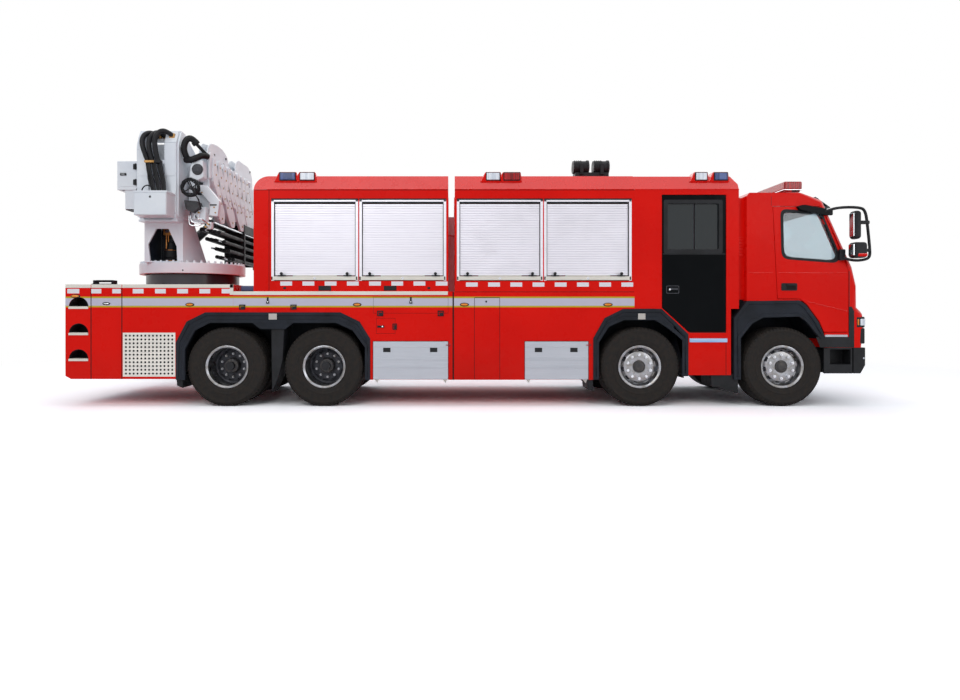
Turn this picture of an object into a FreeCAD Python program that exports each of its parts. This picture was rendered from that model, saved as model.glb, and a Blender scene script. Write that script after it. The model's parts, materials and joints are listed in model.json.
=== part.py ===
import FreeCAD, Part
import os
import re
import Sketcher

# Fire rescue truck with a folding telescopic boom, 8x4, about 11.2 m long.
# Truck frame: X forward, Y to the truck's left, Z up, wheels on Z = 0, X = 0 near mid length.
# Every sub-part is then moved by origin_x and origin_y, so that the overall box is centred.

SIZES = {
    # overall body
    "half_width": 1250, "tail_x": -5621, "locker_wall": 30, "cabin_wall": 50, "cab_wall": 60,
    "panel_gap": 8, "seat_gap": 0.3, "running_fit": 0.05, "tunnel_half": 490,
    # ladder frame
    "rail_inner": 390, "rail_width": 80, "rail_low": 760, "rail_high": 1040, "rail_front_x": 5419.7,
    "member_width": 80, "tow_hole_radius": 20, "tow_plate": 40,
    # engine
    "engine_rear_x": 3180, "engine_front_x": 4240, "engine_half": 330, "engine_low": 640,
    "engine_high": 1300,
    # axles and wheels
    "axle_one_x": 4431, "axle_two_x": 2429, "axle_three_x": -2002, "axle_four_x": -3367, "tyre_radius": 555,
    "single_width": 370, "twin_width": 290, "rim_radius": 286, "rim_wall": 24, "flange_rise": 14,
    "flange_width": 12, "kingpin_radius": 25, "spindle_radius": 45, "rear_spindle_radius": 60,
    "beam_half": 45, "boss_radius": 45, "spring_inner": 400, "spring_width": 60, "front_spring": 600,
    "rear_spring": 560,
    # decks and lower bodies
    "rear_deck_top": 1710, "rear_deck_low": 385, "rear_deck_front_x": -3270, "deck_top": 1610,
    "deck_plate": 50, "lower_low": 374, "body_front_x": 2349, "middle_wall_x": 70, "step_column_x": -5261,
    "hatch_column_x": -4829, "step_radius": 137, "step_x": -5436, "step_one_z": 1396, "step_two_z": 1028,
    "step_three_z": 665, "grille_rear_x": -4817, "grille_front_x": -4081, "grille_low": 389,
    "grille_high": 1035, "grille_hole_radius": 15, "grille_columns": 13, "grille_rows": 11,
    # lower locker flaps
    "flap_thickness": 25, "flap_low": 381, "flap_high": 911, "rear_flap_start": -1309,
    "rear_flap_end": -263, "front_flap_start": 815, "front_flap_end": 1701, "hinge_inset": 8,
    "pin_radius": 5, "pin_depth": 25,
    # upper locker bodies
    "channel_half": 520, "locker_top": 3245, "locker_eave": 3035, "eave_step": 90,
    "rear_locker_start": -2985, "rear_locker_end": -259, "front_locker_start": -168, "locker_corner": 190,
    "shutter_low": 1760, "shutter_high": 2915, "shutter_depth": 25, "shutter_one_start": -2737,
    "shutter_one_end": -1520, "shutter_two_start": -1505, "shutter_two_end": -287,
    "shutter_three_start": -139, "shutter_three_end": 1068, "shutter_four_start": 1082,
    "shutter_four_end": 2310,
    # crew cabin
    "crew_front_x": 3812, "crew_floor": 1370, "crew_roof": 3240, "crew_panel_end": 3700,
    "crew_panel_low": 440, "crew_door_rear_x": 2740, "crew_door_front_x": 3627, "crew_door_high": 2960,
    "crew_door_low": 1050, "crew_door_cut_x": 3114, "crew_door_cut_z": 1392, "crew_glass_rear_x": 2787,
    "crew_glass_front_x": 3555, "crew_glass_low": 2176, "crew_glass_high": 2867,
    # cab
    "cab_rear_x": 3921, "cab_floor": 1480, "cab_roof": 2996, "cab_skirt": 826, "cab_front_x": 5475,
    "cab_skirt_x": 5010, "windscreen_low": 2020, "windscreen_high": 2840, "glass_thickness": 12,
    "cab_door_rear_x": 4355, "cab_door_front_x": 5341, "cab_door_high": 2800, "cab_door_low": 1045,
    "wheel_y": 600,
    # bumpers, steps, mirrors
    "bumper_rear_x": 5420, "bumper_front_x": 5585, "bumper_low": 463, "tail_block_half": 1000,
    "step_box_x": 5065, "step_box_front_x": 5400,
    # wheel arch bands
    "liner_plate": 12,
    # turret
    "turret_x": -4320, "race_inner": 560, "race_outer": 620, "disc_low": 1900, "disc_high": 2060,
    "disc_plate": 30, "pedestal_back_y": -720, "pedestal_foot_y": 265, "pedestal_high": 2640,
    "pedestal_half": 285, "pedestal_plate": 30, "arm_width": 380, "cheek_plate": 60, "cheek_gap": 20,
    "cheek_back_y": -900, "cheek_front_y": -262, "luff_y": -550, "luff_z": 3720, "luff_pin": 60,
    "cabinet_x": -5234, "cabinet_width": 314, "cabinet_low": 3155, "cabinet_height": 435,
    # luffing cylinder
    "arm_low": 3300, "foot_y": -50, "foot_z": 2300, "foot_pin": 30, "eye_y": 1800, "barrel_radius": 75,
    "piston_radius": 50, "barrel_length": 1900,
    # main arm and folding telescopic arm
    "arm_high": 3800, "arm_wall": 12, "arm_back_y": -750, "arm_end_y": 5150, "knuckle_y": 5400,
    "knuckle_end_y": 5600, "fold_pin": 70, "second_width": 330, "second_height": 720, "second_z": 3190,
    "section_wall": 8, "section_gap": 14, "collar_length": 435, "collar_plate": 14, "base_tip_y": 770,
    "cradle_x": -260, "cradle_top": 2600, "tip_step": 440, "tip_reach": 600, "tail_step": 60,
    "tip_bolt_x": 128, "tip_bolt_z": 170, "tip_bolt_radius": 9, "tip_margin": 25,
}

# Sizes that follow from others, so that neighbours stay together when one of them changes.
FOLLOWERS = {
    "axle_z": "tyre_radius", "twin_spacing": "twin_width + 40", "single_y": "half_width - 190",
    "twin_y": "half_width - 315", "kingpin_y": "half_width - 290", "beam_low": "axle_z - 75",
    "beam_high": "axle_z + 75", "spring_low": "beam_high + 60", "spring_high": "spring_low + 60",
    "windscreen_half": "half_width - 130", "windscreen_foot_x": "cab_front_x - 110",
    "windscreen_head_x": "cab_front_x - 477", "bumper_half": "half_width - 5",
    "tail_block_x": "tail_x - 19", "mirror_y": "half_width + 170", "mirror_reach": "half_width + 250",
    "arch_outer_y": "half_width + 12", "arch_inner_y": "half_width - 35", "ring_radius": "race_outer + 70",
    "disc_radius": "ring_radius + 95", "arm_centre_x": "turret_x - 160", "cheek_top": "luff_z + 280",
    "eye_z": "arm_low - 150", "second_x": "turret_x + 320",
}

# Moves that bring the middle of the overall box to the origin.
ORIGIN_X = "-(tail_block_x + bumper_front_x) / 2"
ORIGIN_Y = "-(knuckle_end_y - mirror_reach) / 2"

doc = FreeCAD.newDocument("fire_rescue_truck")
sheet = doc.addObject("Spreadsheet::Sheet", "sizes")
for row, (alias, number) in enumerate(SIZES.items(), start=1):
    sheet.set("A%d" % row, alias)
    sheet.set("B%d" % row, str(number))
    sheet.setAlias("B%d" % row, alias)
doc.recompute()

PARTS = []
PLANES = {"XZ": "XZ_Plane", "YZ": "YZ_Plane", "XY": "XY_Plane"}
TURNS = {"x": FreeCAD.Rotation(FreeCAD.Vector(0, 1, 0), 90),
         "y": FreeCAD.Rotation(FreeCAD.Vector(1, 0, 0), -90),
         "z": FreeCAD.Rotation()}


def formula(text):
    """Write followers out in full, and name the sheet in front of each size."""
    def named(word):
        if word.group(0) in FOLLOWERS:
            return "(%s)" % formula(FOLLOWERS[word.group(0)])
        return "sizes." + word.group(0) if word.group(0) in SIZES else word.group(0)
    return re.sub(r"[a-z]\w+", named, str(text))


def number(text):
    return float(sheet.evalExpression(formula(text)))


def spot(x, y, z):
    return FreeCAD.Vector(number(x), number(y), number(z))


def bind(thing, name, text):
    thing.setExpression(name, formula(text))


def block(x, y, z):
    """Box between two formulas on each axis."""
    box = doc.addObject("Part::Box", "block")
    for size, axis, (low, high) in (("Length", "x", x), ("Width", "y", y), ("Height", "z", z)):
        bind(box, size, "(%s) - (%s)" % (high, low))
        bind(box, "Placement.Base." + axis, low)
    return box


def rod(axis, start, radius, length):
    """Round bar that starts at a point and runs along an axis."""
    bar = doc.addObject("Part::Cylinder", "rod")
    bar.Placement = FreeCAD.Placement(FreeCAD.Vector(), TURNS[axis])
    bind(bar, "Radius", radius)
    bind(bar, "Height", length)
    for name, place in zip("xyz", start):
        bind(bar, "Placement.Base." + name, place)
    return bar


def outline(body, plane, corners, offset="0"):
    """Closed sketch on one of the body's own planes, each corner held by two named sizes."""
    sketch = body.newObject("Sketcher::SketchObject", "outline")
    support = [f for f in body.Origin.OriginFeatures if f.Role == PLANES[plane]][0]
    sketch.AttachmentSupport = [(support, "")]
    sketch.MapMode = "FlatFace"
    bind(sketch, ".AttachmentOffset.Base.z", offset)
    points = [FreeCAD.Vector(number(across), number(up), 0) for across, up in corners]
    count = len(points)
    for index, point in enumerate(points):
        sketch.addGeometry(Part.LineSegment(point, points[(index + 1) % count]), False)
    for index in range(count):
        sketch.addConstraint(Sketcher.Constraint("Coincident", index, 2, (index + 1) % count, 1))
    for index, corner in enumerate(corners):
        for kind, text in zip(("DistanceX", "DistanceY"), corner):
            place = sketch.addConstraint(Sketcher.Constraint(kind, -1, 1, index, 1, number(text)))
            bind(sketch, "Constraints[%d]" % place, text)
    return sketch


def prism(plane, corners, low, high, rounds=()):
    """Outline padded from low to high along the plane's third axis, with some corners rounded."""
    body = doc.addObject("PartDesign::Body", "prism")
    start = "-(%s)" % high if plane == "XZ" else low
    sketch = outline(body, plane, corners, start)
    pad = body.newObject("PartDesign::Pad", "pad")
    pad.Profile = sketch
    bind(pad, "Length", "(%s) - (%s)" % (high, low))
    doc.recompute()
    tip = pad
    for radius, picked in rounds:
        spots = [(number(corners[k][0]), number(corners[k][1])) for k in picked]
        fillet = body.newObject("PartDesign::Fillet", "rounding")
        fillet.Base = (tip, edges_at(tip.Shape, plane, spots))
        bind(fillet, "Radius", radius)
        doc.recompute()
        tip = fillet
    return body


def edges_at(shape, plane, spots):
    """Names of the edges that run square to the plane through the given spots."""
    names = []
    for place, edge in enumerate(shape.Edges, start=1):
        flat = [{"XZ": (v.X, v.Z), "YZ": (v.Y, v.Z), "XY": (v.X, v.Y)}[plane] for v in edge.Vertexes]
        for spot in spots:
            if all(abs(a - spot[0]) + abs(b - spot[1]) < 0.01 for a, b in flat):
                names.append("Edge%d" % place)
    return names


def turned(corners):
    """Profile of radius against height along the axle, turned about Y."""
    body = doc.addObject("PartDesign::Body", "turned")
    sketch = outline(body, "XY", corners)
    turn = body.newObject("PartDesign::Revolution", "turn")
    turn.Profile = sketch
    turn.ReferenceAxis = (sketch, ["V_Axis"])
    turn.Angle = 360
    doc.recompute()
    return body


def upright(corners):
    """Profile of radius against height, turned about Z."""
    body = doc.addObject("PartDesign::Body", "upright")
    sketch = outline(body, "XZ", corners)
    turn = body.newObject("PartDesign::Revolution", "turn")
    turn.Profile = sketch
    turn.ReferenceAxis = (sketch, ["V_Axis"])
    turn.Angle = 360
    doc.recompute()
    return body


def joined(pieces):
    fuse = doc.addObject("Part::MultiFuse", "joined")
    fuse.Shapes = pieces
    return fuse


def without(base, tools):
    cut = doc.addObject("Part::Cut", "trimmed")
    cut.Base = base
    cut.Tool = tools[0] if len(tools) == 1 else joined(tools)
    return cut


def shared(first, second):
    common = doc.addObject("Part::Common", "shared")
    common.Base = first
    common.Tool = second
    return common


def mirrored(piece):
    """The same piece on the truck's other side."""
    mirror = doc.addObject("Part::Mirroring", "mirrored")
    mirror.Source = piece
    mirror.Normal = FreeCAD.Vector(0, 1, 0)
    return mirror


def pair(piece):
    return [piece, mirrored(piece)]


def publish(label, pieces, at=("0", "0", "0"), axis=(0, 0, 1), angle="0"):
    """Make one named sub-part and put it in its place."""
    part = doc.addObject("Part::Compound", label)
    part.Label = label
    part.Links = pieces
    part.Placement = FreeCAD.Placement(FreeCAD.Vector(), FreeCAD.Rotation(FreeCAD.Vector(*axis), 1))
    bind(part, "Placement.Rotation.Angle", angle)
    bind(part, "Placement.Base.x", "(%s) + (%s)" % (at[0], ORIGIN_X))
    bind(part, "Placement.Base.y", "(%s) + (%s)" % (at[1], ORIGIN_Y))
    bind(part, "Placement.Base.z", at[2])
    PARTS.append(part)


def widened(corners, gap):
    """Corners moved outward by a gap, each along its own pair of signs."""
    return [("%s + (%d) * (%s)" % (across, sx, gap), "%s + (%d) * (%s)" % (up, sz, gap))
            for across, up, sx, sz in corners]


def plain(corners):
    return [(across, up) for across, up, _, _ in corners]


# Ladder frame: two rails with their outriggers and cab mounts.
def chassis_frame():
    rail_outer = "rail_inner + rail_width"
    pieces = [block(("tail_x + 60", "rail_front_x"), ("rail_inner", rail_outer), ("rail_low", "rail_high"))]
    for start in ("tail_x + 500", "axle_three_x + 1000", "axle_two_x - 1800", "axle_two_x - 1000"):
        pieces.append(block((start, start + " + 100"), (rail_outer, "tunnel_half - seat_gap"),
                            ("rail_high - 140", "rail_high")))
    for start, top in (("axle_two_x + 900", "crew_floor"), ("crew_front_x - 300", "crew_floor"),
                       ("cab_rear_x + 250", "cab_floor"), ("cab_skirt_x - 100", "cab_floor")):
        pieces.append(block((start, start + " + 120"), ("rail_inner", rail_outer),
                            ("rail_high", top + " - seat_gap")))
    publish("chassis_frame", pair(joined(pieces)))


# Members between the rails, with the tow plate and the engine's hangers.
def cross_members():
    end = "rail_inner - seat_gap"
    members = ("axle_four_x - 700", "(axle_three_x + axle_four_x - member_width) / 2", "axle_three_x + 900",
               "axle_two_x - 1500", "axle_two_x + 620", "rail_front_x - 200")
    pieces = [block((start, start + " + member_width"), ("-(%s)" % end, end), ("rail_low + 40", "rail_high - 40"))
              for start in members]
    rear = block(("tail_x + 60", "tail_x + 60 + member_width"), ("-(%s)" % end, end),
                 ("rail_low + 40", "rail_high - 40"))
    coupling_x = "tail_x + 60 + member_width"
    plate = block((coupling_x, coupling_x + " + 200"), ("-120", "120"),
                  ("rail_low + 60", "rail_low + 60 + tow_plate"))
    hole = rod("z", (coupling_x + " + 100", "0", "rail_low + 50"), "tow_hole_radius", "tow_plate + 20")
    pieces.append(joined([rear, without(plate, [hole])]))
    for start in ("engine_rear_x + 150", "engine_front_x - 250"):
        sling = [block((start, start + " + 100"), ("-(%s)" % end, end), ("engine_low - 50", "engine_low - seat_gap"))]
        sling += pair(block((start, start + " + 100"), ("rail_inner - 30", end), ("engine_low - 50", "rail_low + 100")))
        pieces.append(joined(sling))
    publish("cross_members", pieces)


def engine_block():
    publish("engine_block", [block(("engine_rear_x", "engine_front_x"), ("-engine_half", "engine_half"),
                                   ("engine_low", "engine_high"))])


def leaf_springs(axle_x, reach):
    """Spring packs of one axle with their seats and hangers."""
    spring_y = ("spring_inner", "spring_inner + spring_width")
    pack = block((axle_x + " - " + reach, axle_x + " + " + reach), spring_y, ("spring_low", "spring_high"))
    seat = block((axle_x + " - 80", axle_x + " + 80"), spring_y, ("beam_high - 10", "spring_low"))
    pieces = pair(pack) + pair(seat)
    for start in (axle_x + " - " + reach, axle_x + " + %s - 60" % reach):
        pieces += pair(block((start, start + " + 60"), spring_y, ("spring_high", "rail_low - seat_gap")))
    return pieces


# Dropped beams of the two steered axles, each with its kingpins.
def steered_axles():
    beams = []
    for axle_x in ("axle_one_x", "axle_two_x"):
        pieces = [block((axle_x + " - beam_half", axle_x + " + beam_half"), ("-kingpin_y", "kingpin_y"),
                        ("beam_low", "beam_high"))]
        pieces += pair(rod("z", (axle_x, "kingpin_y", "beam_low"), "boss_radius", "beam_high - beam_low"))
        pieces += pair(rod("z", (axle_x, "kingpin_y", "beam_low - 40"), "kingpin_radius",
                           "beam_high - beam_low + 80"))
        beams.append(joined(pieces + leaf_springs(axle_x, "front_spring")))
    return beams


# Driven axles: tube, differential housing and hollow ends that carry the twin wheels.
def driven_axles():
    tubes = []
    inner = "twin_y - twin_spacing / 2 - twin_width / 2 - 40"
    for axle_x in ("axle_three_x", "axle_four_x"):
        pieces = [rod("y", (axle_x, "-(%s)" % inner, "axle_z"), "80", "2 * (%s)" % inner),
                  rod("x", (axle_x + " - 160", "0", "axle_z"), "190", "320"),
                  rod("y", (axle_x, "-(twin_y + 180)", "axle_z"), "rear_spindle_radius",
                      "2 * (twin_y + 180)")]
        tubes.append(joined(pieces + leaf_springs(axle_x, "rear_spring")))
    return tubes


# All four axles: four separate solids on the frame.
def axles():
    publish("axles", steered_axles() + driven_axles())


# Steering knuckle: two ears round the kingpin, an outer plate and the wheel spindle.
def knuckle_shape():
    ears = [block(("-beam_half", "beam_half"), ("-boss_radius - 25", "40"), span)
            for span in (("beam_high + seat_gap", "beam_high + 40"),
                         ("beam_low - 40", "beam_low - seat_gap"))]
    plate = block(("-beam_half", "beam_half"), ("-boss_radius - 25", "-boss_radius - 5"),
                  ("beam_low - 40", "beam_high + 40"))
    spindle = rod("y", ("0", "-230", "axle_z"), "spindle_radius", "230 - boss_radius - 5")
    bore = rod("z", ("0", "0", "beam_low - 60"), "kingpin_radius + running_fit", "beam_high - beam_low + 120")
    return without(joined(ears + [plate, spindle]), [bore])


def knuckles():
    shape = knuckle_shape()
    for axle, axle_x in (("1", "axle_one_x"), ("2", "axle_two_x")):
        publish("knuckle_%s_right" % axle, [shape], (axle_x, "-kingpin_y", "0"))
        publish("knuckle_%s_left" % axle, [shape], (axle_x, "kingpin_y", "0"), angle="180")


def tyre_profile(width, middle):
    """Half section of a tyre: bead, sidewall, shoulder and tread."""
    half = "%s / 2" % width
    outer = [("rim_radius + seat_gap", half + " - 26"), ("rim_radius + flange_rise + 3", half + " - 26"),
             ("rim_radius + flange_rise + 8", half + " - 14"), ("rim_radius + 90", half + " - 2"),
             ("rim_radius + 150", half), ("tyre_radius - 40", half + " - 6"),
             ("tyre_radius - 14", half + " - 16"), ("tyre_radius", half + " - 42")]
    low = [(radius, "%s - (%s)" % (middle, side)) for radius, side in outer]
    high = [(radius, "%s + (%s)" % (middle, side)) for radius, side in reversed(outer)]
    return low + high


def single_rim_profile():
    half = "single_width / 2"
    flange = "rim_radius + flange_rise"
    barrel = "rim_radius - rim_wall"
    return [("spindle_radius + running_fit", "30"), ("spindle_radius + running_fit", "-135"), ("118", "-135"),
            ("118", "-118"), ("205", "-118"), (barrel, "-60"), (barrel, "-(%s - 14)" % half),
            (flange, "-(%s - 14)" % half), (flange, "-(%s - 14 - flange_width)" % half),
            ("rim_radius", "-(%s - 14 - flange_width)" % half), ("rim_radius", half + " - 14 - flange_width"),
            (flange, half + " - 14 - flange_width"), (flange, half + " - 14"), (barrel, half + " - 14"),
            (barrel, "-40"), ("200", "-100"), ("95", "-100"), ("95", "30")]


def twin_rim_profile():
    flange = "rim_radius + flange_rise"
    barrel = "rim_radius - rim_wall"
    lip = "twin_width / 2 - 14"
    seat = "twin_width / 2 - 14 - flange_width"
    centre = "twin_spacing / 2"
    return [("rear_spindle_radius + running_fit", "110"), ("rear_spindle_radius + running_fit", "-190"),
            ("125", "-190"), ("125", "-30"), (barrel, "-30"), (barrel, "-(%s) - (%s)" % (centre, lip)),
            (flange, "-(%s) - (%s)" % (centre, lip)), (flange, "-(%s) - (%s)" % (centre, seat)),
            ("rim_radius", "-(%s) - (%s)" % (centre, seat)), ("rim_radius", "-(%s) + (%s)" % (centre, seat)),
            (flange, "-(%s) + (%s)" % (centre, seat)), (flange, "-(%s) + (%s)" % (centre, lip)),
            ("rim_radius - 8", "-(%s) + (%s)" % (centre, lip)),
            ("rim_radius - 8", "%s - (%s)" % (centre, lip)),
            (flange, "%s - (%s)" % (centre, lip)), (flange, "%s - (%s)" % (centre, seat)),
            ("rim_radius", "%s - (%s)" % (centre, seat)), ("rim_radius", "%s + (%s)" % (centre, seat)),
            (flange, "%s + (%s)" % (centre, seat)), (flange, "%s + (%s)" % (centre, lip)),
            (barrel, "%s + (%s)" % (centre, lip)), (barrel, "5"), ("100", "5"), ("100", "110")]


# Single wheels on the steered axles, twin wheels on the driven axles.
def wheels():
    single_tyre = [turned(tyre_profile("single_width", "0"))]
    twin_tyres = [turned(tyre_profile("twin_width", middle)) for middle in ("-twin_spacing / 2",
                                                                            "twin_spacing / 2")]
    single_rim = [turned(single_rim_profile())]
    twin_rim = [turned(twin_rim_profile())]
    for axle, axle_x, y, tyre, rim in (("1", "axle_one_x", "single_y", single_tyre, single_rim),
                                       ("2", "axle_two_x", "single_y", single_tyre, single_rim),
                                       ("3", "axle_three_x", "twin_y", twin_tyres, twin_rim),
                                       ("4", "axle_four_x", "twin_y", twin_tyres, twin_rim)):
        for side, place, angle in (("right", "-" + y, "0"), ("left", y, "180")):
            publish("tyre_%s_%s" % (axle, side), tyre, (axle_x, place, "axle_z"), angle=angle)
            publish("rim_%s_%s" % (axle, side), rim, (axle_x, place, "axle_z"), angle=angle)


# Outer outlines of the wheel arches; the bodies are cut to them and the bands fill them.
REAR_ARCH = [("axle_four_x - 703", "lower_low"), ("axle_four_x - 703", "axle_z + 345"),
             ("axle_four_x - 553", "axle_z + 635"), ("axle_four_x - 291", "axle_z + 765"),
             ("axle_three_x + 231", "axle_z + 765"), ("axle_three_x + 502", "axle_z + 635"),
             ("axle_three_x + 651", "axle_z + 395"), ("axle_three_x + 651", "lower_low")]
REAR_ARCH_INSIDE = [("axle_four_x - 578", "lower_low"), ("axle_four_x - 578", "axle_z + 245"),
                    ("axle_four_x - 433", "axle_z + 515"), ("axle_four_x - 233", "axle_z + 617"),
                    ("axle_three_x + 172", "axle_z + 617"), ("axle_three_x + 402", "axle_z + 515"),
                    ("axle_three_x + 577", "axle_z + 275"), ("axle_three_x + 577", "lower_low")]
MIDDLE_ARCH = [("axle_two_x - 659", "lower_low + 4"), ("axle_two_x - 659", "axle_z + 397"),
               ("axle_two_x - 499", "axle_z + 685"), ("axle_two_x - 239", "axle_z + 813"),
               ("axle_two_x + 297", "axle_z + 813"), ("axle_two_x + 501", "axle_z + 625"),
               ("axle_two_x + 671", "axle_z + 460"), ("axle_two_x + 671", "crew_panel_low - 14")]
MIDDLE_ARCH_INSIDE = [("axle_two_x - 579", "lower_low + 4"), ("axle_two_x - 579", "axle_z + 345"),
                      ("axle_two_x - 439", "axle_z + 565"), ("axle_two_x - 229", "axle_z + 656"),
                      ("axle_two_x + 211", "axle_z + 656"), ("axle_two_x + 421", "axle_z + 520"),
                      ("axle_two_x + 587", "axle_z + 375"), ("axle_two_x + 587", "crew_panel_low - 14")]
CAB_ARCH = [("axle_one_x - 691", "lower_low + 5"), ("axle_one_x - 691", "axle_z + 685"),
            ("axle_one_x - 510", "axle_z + 922"), ("axle_one_x + 224", "axle_z + 933"),
            ("axle_one_x + 322", "axle_z + 862"),
            ("axle_one_x + 490", "axle_z + 632"), ("axle_one_x + 587", "axle_z + 403")]
CAB_ARCH_INSIDE = [("axle_one_x - 596", "lower_low + 5"), ("axle_one_x - 596", "axle_z + 405"),
                   ("axle_one_x - 438", "axle_z + 608"), ("axle_one_x - 280", "axle_z + 692"),
                   ("axle_one_x + 224", "axle_z + 705"),
                   ("axle_one_x + 322", "axle_z + 635"), ("axle_one_x + 529", "axle_z + 385")]
# Directions in which each outline grows: rear leg, crown, front leg.
WIDE_SIGNS = ((-1, 0), (-1, 0), (-1, 1), (-1, 1), (1, 1), (1, 1), (1, 0), (1, 0))
CAB_SIGNS = ((-1, 0), (-1, 0), (-1, 1), (1, 1), (1, 1), (1, 1), (1, 1))


def open_arch(corners):
    """Space that a wheel arch leaves, through both sides and down past the body's edge."""
    rest = corners[1:-1]
    deep = [(corners[0][0], "200")] + rest + [(corners[-1][0], "200")]
    return prism("XZ", deep, "-half_width - 50", "half_width + 50")


def wheel_arch(outer, inside, signs):
    """One arch: its painted band at the side, the liner over the wheels and the plate beside the rail."""
    band = prism("XZ", outer + inside[::-1], "-arch_outer_y", "-arch_inner_y")
    corners = [corner + sign for corner, sign in zip(outer, signs)]
    liner = prism("XZ", outer + widened(corners, "-liner_plate")[::-1], "-arch_inner_y", "-tunnel_half - 5")
    closed = [(outer[0][0], "rail_low")] + outer[1:-1] + [(outer[-1][0], "rail_low")]
    if outer is CAB_ARCH:
        closed = [(outer[0][0], "rail_low")] + outer[1:]
    plate = prism("XZ", closed, "-tunnel_half - 5 - liner_plate", "-tunnel_half - 5")
    return joined([band, liner, plate])


def wheel_arches():
    arches = []
    for outer, inside, signs in ((REAR_ARCH, REAR_ARCH_INSIDE, WIDE_SIGNS),
                                 (MIDDLE_ARCH, MIDDLE_ARCH_INSIDE, WIDE_SIGNS),
                                 (CAB_ARCH, CAB_ARCH_INSIDE, CAB_SIGNS)):
        arches += pair(wheel_arch(outer, inside, signs))
    publish("wheel_arches", arches)


def rooms(spans, low, high):
    """Hollow spaces of the side lockers, on both sides of the chassis tunnel."""
    spaces = []
    for start, end in spans:
        spaces += pair(block((start, end), ("tunnel_half + locker_wall", "half_width - locker_wall"),
                             (low, high)))
    return spaces


# Rear deck: side panels with three step recesses, a service hatch column and a perforated panel.
def rear_deck_body():
    outer = prism("XZ", [("tail_x", "rear_deck_low + 43"), ("tail_x + 80", "rear_deck_low"),
                         ("rear_deck_front_x", "rear_deck_low"), ("rear_deck_front_x", "rear_deck_top"),
                         ("tail_x", "rear_deck_top")], "-half_width", "half_width")
    under = "rear_deck_top - deck_plate"
    wall = " + locker_wall / 2"
    cuts = [block(("tail_x + locker_wall", "rear_deck_front_x + 10"), ("-tunnel_half", "tunnel_half"),
                  ("rear_deck_low - 10", under)), open_arch(REAR_ARCH)]
    columns = (("tail_x + locker_wall", "step_column_x - locker_wall / 2"),
               ("step_column_x" + wall, "hatch_column_x - locker_wall / 2"),
               ("hatch_column_x" + wall, REAR_ARCH[0][0] + " - locker_wall"))
    cuts += rooms(columns, "rear_deck_low + locker_wall", "rear_deck_top - deck_plate - locker_wall")
    cuts += rooms(((REAR_ARCH[0][0] + " + 60", "rear_deck_front_x - locker_wall"),),
                  REAR_ARCH[3][1] + " + locker_wall",
                  under)
    steps = ("step_one_z", "step_two_z", "step_three_z")
    for level in steps:
        mouth = rod("y", ("step_x", "-half_width - 10", level), "step_radius", "half_width")
        upper = block(("step_x - step_radius", "step_x + step_radius"),
                      ("-half_width - 10", "-half_width + 50"),
                      (level, level + " + step_radius"))
        cuts += pair(shared(mouth, upper))
    grille_cut = block(("grille_rear_x", "grille_front_x"),
                       ("-half_width - 10", "-half_width + locker_wall + 5"),
                       ("grille_low + locker_wall", "grille_high"))
    cuts += pair(grille_cut)
    treads = []
    for level in steps:
        treads += pair(block(("tail_x + locker_wall", "step_column_x - locker_wall / 2"),
                             ("-half_width + locker_wall - 5", "-half_width + 300"),
                             (level + " - locker_wall", level)))
    publish("rear_deck_body", [joined([without(outer, cuts)] + treads)])


# Perforated steel sheets that close the cooling openings.
def side_grilles():
    panel = doc.addObject("Part::Feature", "grille_sheet")
    low_x, high_x = number("grille_rear_x + seat_gap"), number("grille_front_x - seat_gap")
    low_z, high_z = number("grille_low + locker_wall + seat_gap"), number("grille_high - seat_gap")
    side, thick = number("-half_width"), 6
    sheet_shape = Part.makeBox(high_x - low_x, thick, high_z - low_z, FreeCAD.Vector(low_x, side, low_z))
    columns, rows = int(number("grille_columns")), int(number("grille_rows"))
    across, up = (high_x - low_x) / (columns + 0.6), (high_z - low_z) / (rows + 0.6)
    holes = []
    for column in range(columns):
        for row in range(rows):
            centre = FreeCAD.Vector(low_x + (column + 0.8) * across, side - 5, low_z + (row + 0.8) * up)
            holes.append(Part.makeCylinder(number("grille_hole_radius"), thick + 10, centre,
                                           FreeCAD.Vector(0, 1, 0)))
    panel.Shape = sheet_shape.cut(Part.makeCompound(holes))
    publish("side_grilles", pair(panel))


# Side lockers and deck plate between the rear wheels and the crew cabin.
def lower_locker_body():
    outer = block(("rear_deck_front_x + seat_gap", "body_front_x"), ("-half_width", "half_width"),
                  ("lower_low", "deck_top"))
    cuts = [block(("rear_deck_front_x - 10", "body_front_x + 10"), ("-tunnel_half", "tunnel_half"),
                  ("lower_low - 10", "deck_top - deck_plate")), open_arch(REAR_ARCH), open_arch(MIDDLE_ARCH)]
    spans = ((REAR_ARCH[-1][0] + " + locker_wall", "rear_flap_end + locker_wall"),
             ("rear_flap_end + 2 * locker_wall", "middle_wall_x"),
             ("middle_wall_x + locker_wall", "front_flap_start - 2 * locker_wall"),
             ("front_flap_start - locker_wall", MIDDLE_ARCH[0][0] + " - locker_wall"))
    cuts += rooms(spans, "lower_low + locker_wall", "deck_top - deck_plate - locker_wall")
    cuts += rooms((("rear_deck_front_x + locker_wall", REAR_ARCH[4][0]),), REAR_ARCH[3][1] + " + locker_wall",
                  "deck_top - deck_plate - locker_wall")
    pins = []
    for start, end in FLAP_SPANS:
        cuts += pair(block((start + " - panel_gap", end + " + panel_gap"), ("-half_width - 10",
                           "-half_width + locker_wall + 5"), ("lower_low - 10", "flap_high + panel_gap")))
        axis_y, axis_z = "-half_width + hinge_inset", "flap_low + hinge_inset"
        pins += pair(rod("x", (start + " - panel_gap - 5", axis_y, axis_z), "pin_radius",
                         "panel_gap + 5 + pin_depth"))
        pins += pair(rod("x", (end + " - pin_depth", axis_y, axis_z), "pin_radius",
                         "panel_gap + 5 + pin_depth"))
    publish("lower_locker_body", [joined([without(outer, cuts)] + pins)])


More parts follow.
